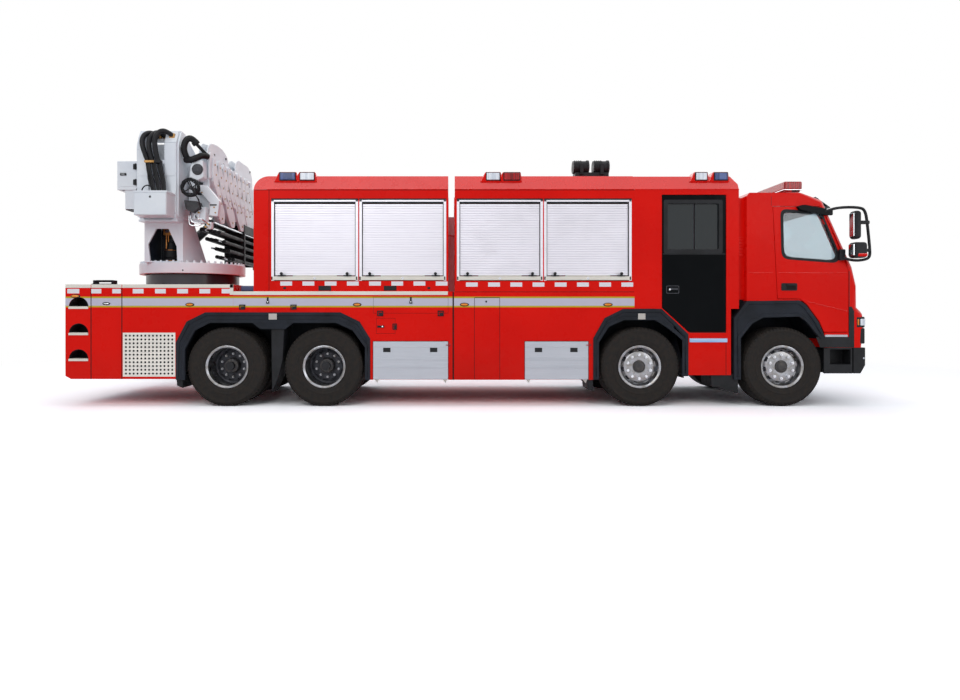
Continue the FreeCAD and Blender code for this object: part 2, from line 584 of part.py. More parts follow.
FLAP_SPANS = (("rear_flap_start", "rear_flap_end"), ("front_flap_start", "front_flap_end"))


# Drop-down flaps of the lower lockers, hinged along their bottom edge.
def locker_flaps():
    for name, (start, end) in zip(("rear", "front"), FLAP_SPANS):
        panel = block((start, end), ("-half_width", "-half_width + flap_thickness"),
                      ("flap_low", "flap_high"))
        holes = [rod("x", (place, "-half_width + hinge_inset", "flap_low + hinge_inset"),
                     "pin_radius + running_fit", "pin_depth + 10")
                 for place in (start + " - 10", end + " - pin_depth")]
        flap = without(panel, holes)
        publish("locker_flap_%s_right" % name, [flap])
        publish("locker_flap_%s_left" % name, [mirrored(flap)])


LOCKERS = (("rear_locker_start", "rear_locker_end",
            (("shutter_one_start", "shutter_one_end"), ("shutter_two_start", "shutter_two_end"))),
           ("front_locker_start", "body_front_x",
            (("shutter_three_start", "shutter_three_end"), ("shutter_four_start", "shutter_four_end"))))


# Four tall lockers, two on each side of the channel that the boom travels in.
def upper_locker_bodies():
    bodies = []
    for start, end, shutters in LOCKERS:
        section = [("-half_width", "deck_top"), ("-channel_half", "deck_top"),
                   ("-channel_half", "locker_top"),
                   ("-half_width + eave_step", "locker_top"), ("-half_width", "locker_eave")]
        body = prism("YZ", section, start, end)
        if start == "rear_locker_start":
            side = [(start, "deck_top"), (end, "deck_top"), (end, "locker_top"), (start, "locker_top")]
            body = shared(body, prism("XZ", side, "-half_width", "-channel_half", [("locker_corner", [3])]))
        inner = (start + " + locker_wall", end + " - locker_wall")
        cuts = [block(inner, ("-half_width + 60", "-channel_half - locker_wall"),
                      ("deck_top + 40", "locker_top - 155"))]
        for low, high in shutters:
            cuts.append(block((low, high), ("-half_width - 10", "-half_width + 70"),
                              ("shutter_low", "shutter_high")))
        bodies += pair(without(body, cuts))
    publish("upper_locker_bodies", bodies)


# Slatted roller shutters, closed, in their openings.
def roller_shutters():
    curtains = []
    for _, _, shutters in LOCKERS:
        for low, high in shutters:
            curtains += pair(block((low + " + seat_gap", high + " - seat_gap"),
                                   ("-half_width + 18", "-half_width + 18 + shutter_depth"),
                                   ("shutter_low + seat_gap", "shutter_high - seat_gap")))
    publish("roller_shutters", curtains)


CREW_DOOR = [("crew_door_rear_x", "crew_door_high", -1, 1), ("crew_door_front_x", "crew_door_high", 1, 1),
             ("crew_door_front_x", "crew_door_low", 1, -1), ("crew_door_cut_x", "crew_door_low", -1, -1),
             ("crew_door_rear_x", "crew_door_cut_z", -1, -1)]


def hinge_pin(x, low, high):
    return rod("z", (x, "-half_width + hinge_inset", low), "pin_radius", "(%s) - (%s)" % (high, low))


def hinge_hole(x, low, high):
    return rod("z", (x, "-half_width + hinge_inset", low), "pin_radius + running_fit",
               "(%s) - (%s)" % (high, low))


# Crew cabin: hollow, with a door opening and a step well on each side.
def crew_cabin():
    side = [("body_front_x + seat_gap", "crew_floor"), ("crew_front_x", "crew_floor"),
            ("crew_front_x", "crew_roof - 120"), ("crew_front_x - 90", "crew_roof"),
            ("body_front_x + seat_gap", "crew_roof")]
    brow = [("-half_width", "crew_floor"), ("half_width", "crew_floor"), ("half_width", "locker_eave"),
            ("half_width - eave_step", "crew_roof"), ("-half_width + eave_step", "crew_roof"),
            ("-half_width", "locker_eave")]
    shell = shared(prism("XZ", side, "-half_width", "half_width"),
                   prism("YZ", brow, "body_front_x", "crew_front_x"))
    skirt = pair(block(("crew_door_rear_x - 100", "crew_panel_end"), ("-half_width", "-half_width + 300"),
                       ("crew_panel_low", "crew_floor + 30")))
    cuts = [block(("body_front_x + cabin_wall", "crew_front_x - cabin_wall"),
                  ("-half_width + cabin_wall", "half_width - cabin_wall"),
                  ("crew_floor + cabin_wall", "crew_roof - 160"))]
    arch = [(MIDDLE_ARCH[0][0], "200")] + MIDDLE_ARCH[1:-1] + [(MIDDLE_ARCH[-1][0], "200")]
    cuts += pair(prism("XZ", arch, "-half_width - 50", "-tunnel_half"))
    cuts += pair(block(("crew_door_cut_x + 20", "crew_panel_end - locker_wall"),
                       ("-half_width + cabin_wall", "-half_width + 300 - locker_wall"),
                       ("crew_panel_low + locker_wall", "crew_floor + 60")))
    cuts += pair(prism("XZ", widened(CREW_DOOR, "panel_gap"), "-half_width - 10",
                       "-half_width + cabin_wall + 10"))
    pin_x = "crew_door_front_x - hinge_inset"
    pins = pair(hinge_pin(pin_x, "crew_door_high - pin_depth", "crew_door_high + panel_gap + 5"))
    pins += pair(hinge_pin(pin_x, "crew_door_low - panel_gap - 5", "crew_door_low + pin_depth"))
    publish("crew_cabin", [joined([without(joined([shell] + skirt), cuts)] + pins)])


def crew_doors():
    panel = prism("XZ", plain(CREW_DOOR), "-half_width", "-half_width + cabin_wall")
    pin_x = "crew_door_front_x - hinge_inset"
    cuts = [block(("crew_glass_rear_x", "crew_glass_front_x"),
                  ("-half_width - 10", "-half_width + cabin_wall + 10"),
                  ("crew_glass_low", "crew_glass_high")),
            hinge_hole(pin_x, "crew_door_high - pin_depth - 5", "crew_door_high + 10"),
            hinge_hole(pin_x, "crew_door_low - 10", "crew_door_low + pin_depth + 5")]
    door = without(panel, cuts)
    publish("crew_door_right", [door])
    publish("crew_door_left", [mirrored(door)])


CAB_DOOR = [("cab_door_rear_x", "cab_door_low + 467", -1, -1),
            ("cab_door_rear_x - 65", "cab_door_high", -1, 1),
            ("cab_door_front_x - 406", "cab_door_high", 0, 1),
            ("cab_door_front_x - 356", "cab_door_high - 60", 1, 1),
            ("cab_door_front_x - 66", "cab_door_high - 710", 2, 1),
            ("cab_door_front_x", "cab_door_high - 900", 1, 1), ("cab_door_front_x", "cab_door_low", 1, -1),
            ("cab_door_front_x - 336", "cab_door_low", -1, -1),
            ("cab_door_front_x - 406", "cab_door_low + 155", -1, -1),
            ("cab_door_front_x - 576", "cab_door_low + 385", -1, -1),
            ("cab_door_front_x - 676", "cab_door_low + 467", 0, -1)]
CAB_WINDOW = [("cab_door_front_x - 911", "cab_door_high - 65"),
              ("cab_door_front_x - 391", "cab_door_high - 95"),
              ("cab_door_front_x - 136", "cab_door_high - 685"),
              ("cab_door_front_x - 191", "cab_door_high - 755"),
              ("cab_door_front_x - 854", "cab_door_high - 705"),
              ("cab_door_front_x - 909", "cab_door_high - 650")]


# Tilt cab: hollow shell with windscreen and door openings.
def cab_shell():
    side = [("cab_rear_x", "cab_floor"), ("cab_skirt_x", "cab_floor"), ("cab_skirt_x", "cab_skirt"),
            ("cab_front_x + 70", "cab_skirt"), ("cab_front_x + 97", "cab_skirt + 301"),
            ("cab_front_x + 85", "cab_skirt + 482"),
            ("cab_front_x", "cab_skirt + 566"), ("cab_front_x - 5", "cab_skirt + 874"),
            ("cab_front_x - 65", "windscreen_low - 60"),
            ("cab_front_x - 485", "cab_roof - 98"), ("cab_front_x - 775", "cab_roof"),
            ("cab_rear_x + 40", "cab_roof"),
            ("cab_rear_x", "cab_roof - 45")]
    shell = prism("XZ", side, "-half_width", "half_width")
    room = [("cab_rear_x + cab_wall", "cab_floor + cab_wall"),
            ("cab_rear_x + cab_wall", "cab_roof - cab_wall"),
            ("cab_front_x - 785", "cab_roof - cab_wall"), ("cab_front_x - 570", "cab_roof - 136"),
            ("cab_front_x - 155", "windscreen_low - 80"), ("cab_front_x - 75", "cab_skirt + 874"),
            ("cab_front_x - 75", "cab_floor + cab_wall")]
    cuts = [prism("XZ", room, "-half_width + cab_wall", "half_width - cab_wall"),
            block(("cab_skirt_x + cab_wall", "cab_front_x"),
                  ("-half_width + cab_wall", "half_width - cab_wall"),
                  ("cab_skirt - 10", "cab_floor - cab_wall")),
            block(("cab_skirt_x - 10", "cab_skirt_x + cab_wall + 10"), ("-tunnel_half", "tunnel_half"),
                  ("cab_skirt - 10", "cab_floor"))]
    opening = [("windscreen_head_x - 118", "windscreen_high"), ("windscreen_head_x + 122", "windscreen_high"),
               ("windscreen_foot_x + 115", "windscreen_low"),
               ("windscreen_foot_x - 125", "windscreen_low")]
    cuts.append(prism("XZ", opening, "-windscreen_half", "windscreen_half"))
    arch = [(CAB_ARCH[0][0], "axle_z + 345")] + CAB_ARCH[1:] + [("axle_one_x + 529", "axle_z + 345")]
    cuts += pair(prism("XZ", arch, "-half_width - 50", "-tunnel_half"))
    cuts += pair(prism("XZ", widened(CAB_DOOR, "panel_gap"), "-half_width - 10",
                       "-half_width + cab_wall + 10"))
    pin_x = "cab_door_front_x - hinge_inset"
    pins = pair(hinge_pin(pin_x, "cab_door_low - panel_gap - 5", "cab_door_low + pin_depth"))
    pins += pair(hinge_pin(pin_x, "cab_door_high - 895", "cab_door_high - 810"))
    bridge = block(("crew_front_x + seat_gap", "cab_rear_x"), ("-half_width + 90", "half_width - 90"),
                   ("cab_floor + 20", "cab_roof - 60"))
    publish("cab_shell", [joined([without(shell, cuts), bridge] + pins)])


def cab_doors():
    panel = prism("XZ", plain(CAB_DOOR), "-half_width", "-half_width + cab_wall")
    pin_x = "cab_door_front_x - hinge_inset"
    cuts = [prism("XZ", CAB_WINDOW, "-half_width - 10", "-half_width + cab_wall + 10"),
            hinge_hole(pin_x, "cab_door_low - 10", "cab_door_low + pin_depth + 5"),
            hinge_hole(pin_x, "cab_door_high - 905", "cab_door_high - 810")]
    door = without(panel, cuts)
    publish("cab_door_right", [door])
    publish("cab_door_left", [mirrored(door)])


def windscreen():
    foot, head = "windscreen_foot_x", "windscreen_head_x"
    low, high = "windscreen_low + seat_gap", "windscreen_high - seat_gap"
    pane = prism("XZ", [(foot, low), (head, high), (head + " - glass_thickness", high),
                        (foot + " - glass_thickness", low)],
                 "-windscreen_half + seat_gap", "windscreen_half - seat_gap")
    publish("windscreen", [pane])


# Driver's and passenger's seats and the crew bench.
def seats():
    chairs = []
    floor = "cab_floor + cab_wall"
    for low, high in (("-half_width + 400", "-half_width + 900"), ("half_width - 900", "half_width - 400")):
        cushion = block(("cab_rear_x + 309", "cab_rear_x + 809"), (low, high), (floor, floor + " + 420"))
        back = block(("cab_rear_x + 229", "cab_rear_x + 369"), (low, high),
                     (floor + " + 300", floor + " + 1050"))
        chairs.append(joined([cushion, back]))
    bench_floor = "crew_floor + cabin_wall"
    bench = block(("body_front_x + 70", "body_front_x + 560"), ("-half_width + 250", "half_width - 250"),
                  (bench_floor, bench_floor + " + 440"))
    rest = block(("body_front_x + 70", "body_front_x + 180"), ("-half_width + 250", "half_width - 250"),
                 (bench_floor + " + 300", bench_floor + " + 1080"))
    chairs.append(joined([bench, rest]))
    publish("seats", chairs)


# Dashboard with the steering column and wheel.
def dashboard():
    board = prism("XZ", [("cab_front_x - 395", "cab_floor + cab_wall"),
                         ("cab_front_x - 75.3", "cab_floor + cab_wall"),
                         ("cab_front_x - 75.3", "cab_skirt + 874"), ("cab_front_x - 165", "cab_skirt + 1099"),
                         ("cab_front_x - 355", "cab_skirt + 1074"), ("cab_front_x - 435", "cab_skirt + 954")],
                  "-half_width + cab_wall + 10", "half_width - cab_wall - 10")
    column = doc.addObject("Part::Cylinder", "column")
    column.Radius = 28
    column.Height = 250
    lean = FreeCAD.Rotation(FreeCAD.Vector(0, 1, 0), -55)
    column.Placement = FreeCAD.Placement(spot("cab_front_x - 365", "wheel_y", "cab_skirt + 964"), lean)
    centre = spot("cab_front_x - 553", "wheel_y", "cab_skirt + 1096")
    rim = doc.addObject("Part::Torus", "steering_wheel")
    rim.Radius1 = 215
    rim.Radius2 = 17
    rim.Placement = FreeCAD.Placement(centre, lean)
    spoke = doc.addObject("Part::Box", "spoke")
    spoke.Length, spoke.Width, spoke.Height = 430, 50, 14
    spoke.Placement = FreeCAD.Placement(centre, lean).multiply(
        FreeCAD.Placement(FreeCAD.Vector(-215, -25, -7), FreeCAD.Rotation()))
    publish("dashboard", [joined([board, column, spoke, rim])])


# Front bumper and the rubber buffer at the tail.
def bumpers():
    face = prism("XZ", [("bumper_rear_x", "cab_skirt"), ("bumper_front_x", "cab_skirt"),
                        ("bumper_front_x", "580"),
                        ("bumper_front_x - 65", "bumper_low"), ("bumper_rear_x", "bumper_low")],
                 "-bumper_half", "bumper_half")
    space = block(("bumper_rear_x - 10", "bumper_front_x - 45"), ("-bumper_half + 65", "bumper_half - 65"),
                  ("bumper_low + 40", "cab_skirt - 40"))
    buffer = block(("tail_block_x", "tail_x"), ("-tail_block_half", "tail_block_half"), ("520", "1050"))
    publish("bumpers", [without(face, [space]), buffer])


def cab_steps():
    box = block(("step_box_x", "step_box_front_x"), ("-half_width", "-half_width + 250"),
                ("bumper_low", "cab_skirt"))
    recess = block(("step_box_x + 25", "step_box_front_x - 25"), ("-half_width - 10", "-half_width + 200"),
                   ("bumper_low + 127", "cab_skirt - 26"))
    cheek = block(("step_box_x - 62", "step_box_x"), ("-half_width", "-half_width + 25"),
                  ("bumper_low", "cab_skirt - 10"))
    publish("cab_steps", pair(joined([without(box, [recess]), cheek])))


# Two mirror heads on a bent arm that is fixed to the door.
def mirrors():
    arm = prism("XZ", [("cab_front_x - 550", "cab_roof - 234"), ("cab_front_x - 75", "cab_roof - 234"),
                       ("cab_front_x + 65", "cab_roof - 842"), ("cab_front_x + 65", "cab_roof - 911"),
                       ("cab_front_x - 253", "cab_roof - 911"),
                       ("cab_front_x - 253", "cab_roof - 875"), ("cab_front_x + 29", "cab_roof - 875"),
                       ("cab_front_x + 29", "cab_roof - 842"), ("cab_front_x - 103", "cab_roof - 270"),
                       ("cab_front_x - 550", "cab_roof - 270")],
                "-mirror_y - 15", "-mirror_y + 15")
    stubs = [block((low, high), ("-mirror_y", "-half_width"), span)
             for low, high, span in (("cab_front_x - 550", "cab_front_x - 514",
                                      ("cab_roof - 270", "cab_roof - 234")),
                                      ("cab_front_x - 253", "cab_front_x - 217",
                                       ("cab_roof - 911", "cab_roof - 875")))]
    heads = [block((low, high), ("-mirror_reach", "-mirror_reach + 170"), span)
             for low, high, span in (("cab_front_x - 200", "cab_front_x - 50",
                                      ("cab_roof - 686", "cab_roof - 281")),
                                      ("cab_front_x - 200", "cab_front_x + 5",
                                       ("cab_roof - 946", "cab_roof - 716")))]
    shape = joined([arm] + stubs + heads)
    publish("mirror_right", [shape])
    publish("mirror_left", [mirrored(shape)])


# Light bar across the cab roof and the twin lamp unit on the front lockers.
def roof_lamps():
    bar = block(("cab_front_x - 785", "cab_front_x - 685"), ("-half_width + 250", "half_width - 250"),
                ("cab_roof + 60", "cab_roof + 190"))
    feet = pair(block(("cab_front_x - 815", "cab_front_x - 775"), ("-700", "-640"),
                      ("cab_roof", "cab_roof + 90")))
    base = block(("body_front_x - 729", "body_front_x - 229"), ("pedestal_back_y", "-540"),
                 ("locker_top", "locker_top + 150"))
    heads = [rod("x", (start, "-630", "locker_top + 240"), "95", "230") for start in ("body_front_x - 749",
                                                                                      "body_front_x - 449")]
    publish("roof_lamps", [joined([bar] + feet), joined([base] + heads)])


# Cradle in the channel that receives the stowed boom.
def boom_cradle():
    posts = pair(block(("cradle_x", "cradle_x + 100"), ("-350", "-250"), ("deck_top", "cradle_top - 90")))
    saddle = block(("cradle_x", "cradle_x + 100"), ("-400", "400"), ("cradle_top - 100", "cradle_top"))
    ends = pair(block(("cradle_x", "cradle_x + 100"), ("-400", "-340"),
                      ("cradle_top - 10", "second_z - second_height / 2 - 50")))
    publish("boom_cradle", [joined(posts + ends + [saddle])])


# Slewing ring on the deck, and the disc that turns on it.
def turntable():
    ring = upright([("race_inner", "rear_deck_top"), ("race_inner", "disc_low - seat_gap"),
                    ("race_outer", "disc_low - seat_gap"), ("race_outer", "disc_low - 10"),
                    ("ring_radius", "disc_low - 10"), ("ring_radius", "rear_deck_top")])
    under = "disc_high - disc_plate"
    disc = upright([("150", "disc_high"), ("disc_radius", "disc_high"), ("disc_radius", "disc_low"),
                    ("disc_radius - 70", "disc_low"), ("disc_radius - 70", under), ("race_outer", under),
                    ("race_outer", "disc_low"), ("race_inner", "disc_low"), ("race_inner", under),
                    ("150", under)])
    publish("turntable_ring", [ring], ("turret_x", "0", "0"))
    publish("turntable_disc", [disc], ("turret_x", "0", "0"))


# Turret: a box pedestal with an arched back opening, two cheek plates and the luff pin.
def turret_frame():
    left, right = "arm_centre_x - pedestal_half", "arm_centre_x + pedestal_half"
    wedge = [("pedestal_back_y", "disc_high"), ("pedestal_foot_y", "disc_high"),
             ("cheek_front_y", "pedestal_high"),
             ("pedestal_back_y", "pedestal_high")]
    pieces = [prism("YZ", wedge, left, left + " + pedestal_plate"),
              prism("YZ", wedge, right + " - pedestal_plate", right)]
    back = block((left, right), ("pedestal_back_y", "pedestal_back_y + pedestal_plate"),
                 ("disc_high", "pedestal_high"))
    arch = [("arm_centre_x - 200", "disc_high + 20"), ("arm_centre_x + 200", "disc_high + 20"),
            ("arm_centre_x + 190", "disc_high + 240"), ("arm_centre_x + 70", "pedestal_high - 80"),
            ("arm_centre_x - 110", "pedestal_high - 80"),
            ("arm_centre_x - 230", "disc_high + 270")]
    pieces.append(without(back, [prism("XZ", arch, "pedestal_back_y - 10", "pedestal_back_y + 40")]))
    pieces.append(block((left, right), ("cheek_back_y", "cheek_front_y"),
                        ("pedestal_high", "pedestal_high + 30")))
    cheek = [("cheek_back_y", "pedestal_high + 30"), ("cheek_front_y", "pedestal_high + 30"),
             ("cheek_front_y + 62", "luff_z - 320"), ("cheek_front_y + 62", "luff_z + 40"),
             ("luff_y - 110", "cheek_top"), ("luff_y - 250", "cheek_top"),
             ("cheek_back_y", "cheek_top - 210")]
    reach = "arm_width / 2 + cheek_gap"
    for low in ("arm_centre_x - (%s) - cheek_plate" % reach, "arm_centre_x + " + reach):
        pieces.append(prism("YZ", cheek, low, low + " + cheek_plate", [("90", [4, 5])]))
    pieces.append(block(("arm_centre_x - (%s)" % reach, "arm_centre_x + " + reach),
                        ("cheek_back_y + 20", "cheek_back_y + 40"), ("pedestal_high + 30", "luff_z - 570")))
    pieces.append(rod("x", ("arm_centre_x - (%s)" % reach, "luff_y", "luff_z"), "luff_pin",
                      "2 * (%s)" % reach))
    pieces.append(rod("x", (left, "foot_y", "foot_z"), "foot_pin", "2 * pedestal_half"))
    publish("turret_frame", [joined(pieces)])


# Equipment box behind the cheeks and the control cabinet beside them.
def turret_cabinets():
    rear_box = block(("arm_centre_x - 210", "arm_centre_x + 250"), ("cheek_back_y - 300", "cheek_back_y"),
                     ("pedestal_high + 50", "pedestal_high + 390"))
    side = "arm_centre_x - (arm_width / 2 + cheek_gap) - cheek_plate"
    edge, low = "cabinet_x + cabinet_width", "cabinet_low"
    cabinet = block(("cabinet_x", edge), ("cheek_back_y + 300", "cheek_back_y + 570"),
                    (low, low + " + cabinet_height"))
    bracket = block((edge + " - 5", side), ("cheek_back_y + 340", "cheek_back_y + 460"),
                    (low + " + 120", low + " + 220"))
    lower = block(("cabinet_x + 110", edge + " - 10"), ("cheek_back_y + 320", "cheek_back_y + 540"),
                  (low + " - 285", low + " + 5"))
    publish("turret_cabinets", [rear_box, joined([cabinet, bracket, lower])])


# First arm: a hollow box beam on the luff pin, with the fold pin at its far end.
def main_arm():
    side = ("arm_centre_x - arm_width / 2", "arm_centre_x + arm_width / 2")
    beam = block(side, ("arm_back_y", "arm_end_y"), ("arm_low", "arm_high"))
    hollow = block(("arm_centre_x - arm_width / 2 + arm_wall", "arm_centre_x + arm_width / 2 - arm_wall"),
                   ("luff_y + 200", "arm_end_y - arm_wall"), ("arm_low + arm_wall", "arm_high - arm_wall"))
    bore = rod("x", (side[0] + " - 10", "luff_y", "luff_z"), "luff_pin + running_fit", "arm_width + 20")
    head = block(side, ("arm_end_y - 5", "knuckle_end_y"), ("second_z - 150", "arm_high"))
    boss = rod("x", (side[1], "knuckle_y", "second_z"), "120",
               "second_x - second_width / 2 - 5 - (%s)" % side[1])
    pin = rod("x", (side[1], "knuckle_y", "second_z"), "fold_pin",
              "second_x + second_width / 2 - (%s)" % side[1])
    ears = [block((low, low + " + 20"), ("eye_y - 90", "eye_y + 90"), ("eye_z - 90", "arm_low + 5"))
            for low in ("arm_centre_x - 80", "arm_centre_x + 60")]
    publish("main_arm", [joined([without(beam, [hollow, bore]), head, boss, pin] + ears)])


def section(level):
    """Outer box of one telescope section: width and height limits around its centre."""
    inset = "%d * (section_wall + section_gap)" % level
    return ("second_width / 2 - " + inset, "second_height / 2 - " + inset)


def box_tube(half_x, half_z, start, end, wall):
    """Hollow box beam along Y, open at both ends."""
    outer = block(("second_x - (%s)" % half_x, "second_x + " + half_x), (start, end),
                  ("second_z - (%s)" % half_z, "second_z + " + half_z))
    inner = block(("second_x - (%s) + %s" % (half_x, wall), "second_x + %s - %s" % (half_x, wall)),
                  ("(%s) - 10" % start, "(%s) + 10" % end),
                  ("second_z - (%s) + %s" % (half_z, wall), "second_z + %s - %s" % (half_z, wall)))
    return without(outer, [inner])


# Second arm: the base section that folds about the far pin, and three sections that slide in it.
def fold_arm():
    half_x, half_z = section(0)
    tube = box_tube(half_x, half_z, "base_tip_y", "arm_end_y", "section_wall")
    collar = box_tube(half_x + " + collar_plate", half_z + " + collar_plate", "base_tip_y",
                      "base_tip_y + collar_length", "collar_plate")
    end = block(("second_x - (%s)" % half_x, "second_x + " + half_x), ("arm_end_y - 5", "knuckle_end_y"),
                ("second_z - (%s)" % half_z, "second_z + " + half_z))
    bore = rod("x", ("second_x - second_width", "knuckle_y", "second_z"), "fold_pin + running_fit",
               "2 * second_width")
    publish("fold_arm", [joined([tube, collar, without(end, [bore])])])


def telescope_sections():
    for level in (1, 2, 3):
        half_x, half_z = section(level)
        tip = "base_tip_y - %d * tip_step" % level
        tube = box_tube(half_x, half_z, tip, "arm_end_y - 20 - %d * tail_step" % level, "section_wall")
        sleeve = box_tube(half_x + " + collar_plate", half_z + " + collar_plate", tip,
                          tip + " + collar_length",
                          "collar_plate")
        pieces = [tube, sleeve]
        if level == 3:
            pieces.append(tip_head(half_x, half_z, tip))
        pieces.append(slide_pads(level, half_x, half_z))
        publish("telescope_section_%d" % level, [joined(pieces)])


def slide_pads(level, half_x, half_z):
    """Wear pads at the inner end that ride in the section outside."""
    end = "arm_end_y - 20 - %d * tail_step" % level
    reach = "section_gap - seat_gap"
    outer = block(("second_x - (%s) - (%s)" % (half_x, reach), "second_x + %s + %s" % (half_x, reach)),
                  (end + " - 80", end), ("second_z - (%s) - (%s)" % (half_z, reach),
                                         "second_z + %s + %s" % (half_z, reach)))
    inner = block(("second_x - (%s)" % half_x, "second_x + " + half_x), (end + " - 90", end + " + 10"),
                  ("second_z - (%s)" % half_z, "second_z + " + half_z))
    return without(outer, [inner])


def tip_head(half_x, half_z, tip):
    """Flange at the very tip, with an open middle and four bolt holes."""
    rim_x, rim_z = "tip_bolt_x + tip_margin", half_z + " + tip_margin"
    plate = block(("second_x - (%s)" % rim_x, "second_x + " + rim_x), ("-tip_reach", "-tip_reach + 20"),
                  ("second_z - (%s)" % rim_z, "second_z + " + rim_z))
    window = block(("second_x - 55", "second_x + 55"), ("-tip_reach - 10", "-tip_reach + 30"),
                   ("second_z - 110", "second_z + 110"))
    holes = [rod("y", ("second_x %s tip_bolt_x" % x, "-tip_reach - 10", "second_z %s tip_bolt_z" % z),
                 "tip_bolt_radius", "40") for x in "-+" for z in "-+"]
    neck = box_tube(half_x, half_z, "-tip_reach + 10", tip + " + 5", "section_wall")
    return joined([without(plate, [window] + holes), neck])


# Luffing cylinder from the pedestal to the ears under the first arm.
def luff_cylinder():
    lean = "-atan2(eye_y - foot_y; eye_z - foot_z)"
    at = ("arm_centre_x", "foot_y", "foot_z")
    barrel = rod("z", ("0", "0", "0"), "barrel_radius", "barrel_length")
    lug = rod("x", ("-45", "0", "0"), "60", "90")
    bore = rod("z", ("0", "0", "110"), "piston_radius + running_fit", "barrel_length")
    foot_bore = rod("x", ("-100", "0", "0"), "foot_pin + running_fit", "200")
    publish("luff_barrel", [without(joined([barrel, lug]), [bore, foot_bore])], at, (1, 0, 0), lean)
    reach = "hypot(eye_y - foot_y; eye_z - foot_z)"
    shaft = rod("z", ("0", "0", "150"), "piston_radius", reach + " - 150")
    eye = rod("x", ("-45", "0", reach), "58", "90")
    eye_bore = rod("x", ("-60", "0", reach), "foot_pin", "120")
    publish("luff_rod", [without(joined([shaft, eye]), [eye_bore])], at, (1, 0, 0), lean)


for make in (chassis_frame, cross_members, engine_block, axles, knuckles, wheels, wheel_arches, rear_deck_body,
             side_grilles, lower_locker_body, locker_flaps, upper_locker_bodies, roller_shutters, crew_cabin,
             crew_doors, cab_shell, cab_doors, windscreen, seats, dashboard, bumpers, cab_steps, mirrors,
             roof_lamps, boom_cradle, turntable, turret_frame, turret_cabinets, main_arm, fold_arm,
             telescope_sections, luff_cylinder):
    make()
doc.recompute()

for thing in doc.Objects:
    if "Invalid" in thing.State or "Error" in thing.State:
        raise RuntimeError("object failed: %s %s" % (thing.Name, thing.Label))
for part in PARTS:
    if part.Shape.isNull() or not part.Shape.isValid() or not part.Shape.Solids:
        raise RuntimeError("bad shape: " + part.Label)

os.makedirs("parts", exist_ok=True)
for part in PARTS:
    part.Shape.exportStep("parts/%s.step" % part.Label)
print("sub-parts written:", len(PARTS))
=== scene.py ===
"""Fire rescue truck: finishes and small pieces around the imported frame. Lengths are metres."""
import json
import math

import bmesh
import bpy
from mathutils import Matrix, Vector


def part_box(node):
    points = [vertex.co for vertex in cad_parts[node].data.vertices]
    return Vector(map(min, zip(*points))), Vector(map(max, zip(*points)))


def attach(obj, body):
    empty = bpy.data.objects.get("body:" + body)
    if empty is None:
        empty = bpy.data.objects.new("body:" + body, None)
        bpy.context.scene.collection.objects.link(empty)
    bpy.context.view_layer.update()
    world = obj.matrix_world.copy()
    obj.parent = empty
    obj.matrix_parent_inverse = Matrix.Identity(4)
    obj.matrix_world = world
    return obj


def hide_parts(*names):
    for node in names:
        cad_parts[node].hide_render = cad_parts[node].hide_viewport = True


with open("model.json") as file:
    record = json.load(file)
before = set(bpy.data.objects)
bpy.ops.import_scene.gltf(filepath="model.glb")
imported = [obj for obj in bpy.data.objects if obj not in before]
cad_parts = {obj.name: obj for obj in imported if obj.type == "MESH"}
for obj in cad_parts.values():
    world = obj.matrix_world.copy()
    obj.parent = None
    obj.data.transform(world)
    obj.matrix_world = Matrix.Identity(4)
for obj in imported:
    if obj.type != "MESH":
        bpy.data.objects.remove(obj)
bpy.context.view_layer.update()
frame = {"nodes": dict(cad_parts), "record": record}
nodes = frame["nodes"]

# The truck's own zero: under the middle of the frame rails, this far ahead of the turret's axis.
TURRET_BACK = 4.32
disc_low, disc_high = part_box("turntable_disc")
deck_low, deck_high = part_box("rear_deck_body")
ZERO = Vector(((disc_low.x + disc_high.x) / 2 + TURRET_BACK, (deck_low.y + deck_high.y) / 2, 0))
SIDE = (deck_high.y - deck_low.y) / 2
SIDES = (("right", -1), ("left", 1))


def at(x, y, z):
    """A point given from the truck's own zero: X forward, Y to the left, Z up."""
    return ZERO + Vector((x, y, z))


# ---------------------------------------------------------------- finishes

def linear(code):
    """sRGB hex to a linear colour."""
    parts = [int(code[place:place + 2], 16) / 255 for place in (0, 2, 4)]
    return [part / 12.92 if part <= 0.04045 else ((part + 0.055) / 1.055) ** 2.4 for part in parts] + [1]


def add(tree, kind, values=(), links=(), **settings):
    """Add a shader node with its settings, socket values and incoming links."""
    made = tree.nodes.new("ShaderNode" + kind)
    for name, value in settings.items():
        setattr(made, name, value)
    for name, value in dict(values).items():
        made.inputs[name].default_value = value
    for name, (source, output) in dict(links).items():
        tree.links.new(source.outputs[output], made.inputs[name])
    return made


def begin(name, colour, metallic=0.0, roughness=0.5, **sockets):
    """Start a finish from its colour, metallic and roughness, and return it with its tree and shader."""
    finish = bpy.data.materials.new(name)
    finish.use_nodes = True
    shader = finish.node_tree.nodes["Principled BSDF"]
    shader.inputs["Base Color"].default_value = linear(colour)
    shader.inputs["Metallic"].default_value = metallic
    shader.inputs["Roughness"].default_value = roughness
    for socket, value in sockets.items():
        shader.inputs[socket.replace("_", " ").title().replace("Ior", "IOR")].default_value = value
    return finish, finish.node_tree, shader


def grain(tree, size, stretch=(1, 1, 1), detail=3.0):
    """Noise on object coordinates whose grains measure size, stretched along some axes."""
    place = add(tree, "TexCoord")
    fitted = add(tree, "Mapping", {"Scale": [1 / (size * part) for part in stretch]},
                 {"Vector": (place, "Object")})
    return add(tree, "TexNoise", {"Scale": 1.0, "Detail": detail}, {"Vector": (fitted, "Vector")})


def height_of(tree):
    """Height above the ground of the point being shaded."""
    place = add(tree, "TexCoord")
    return add(tree, "SeparateXYZ", links={"Vector": (place, "Object")})


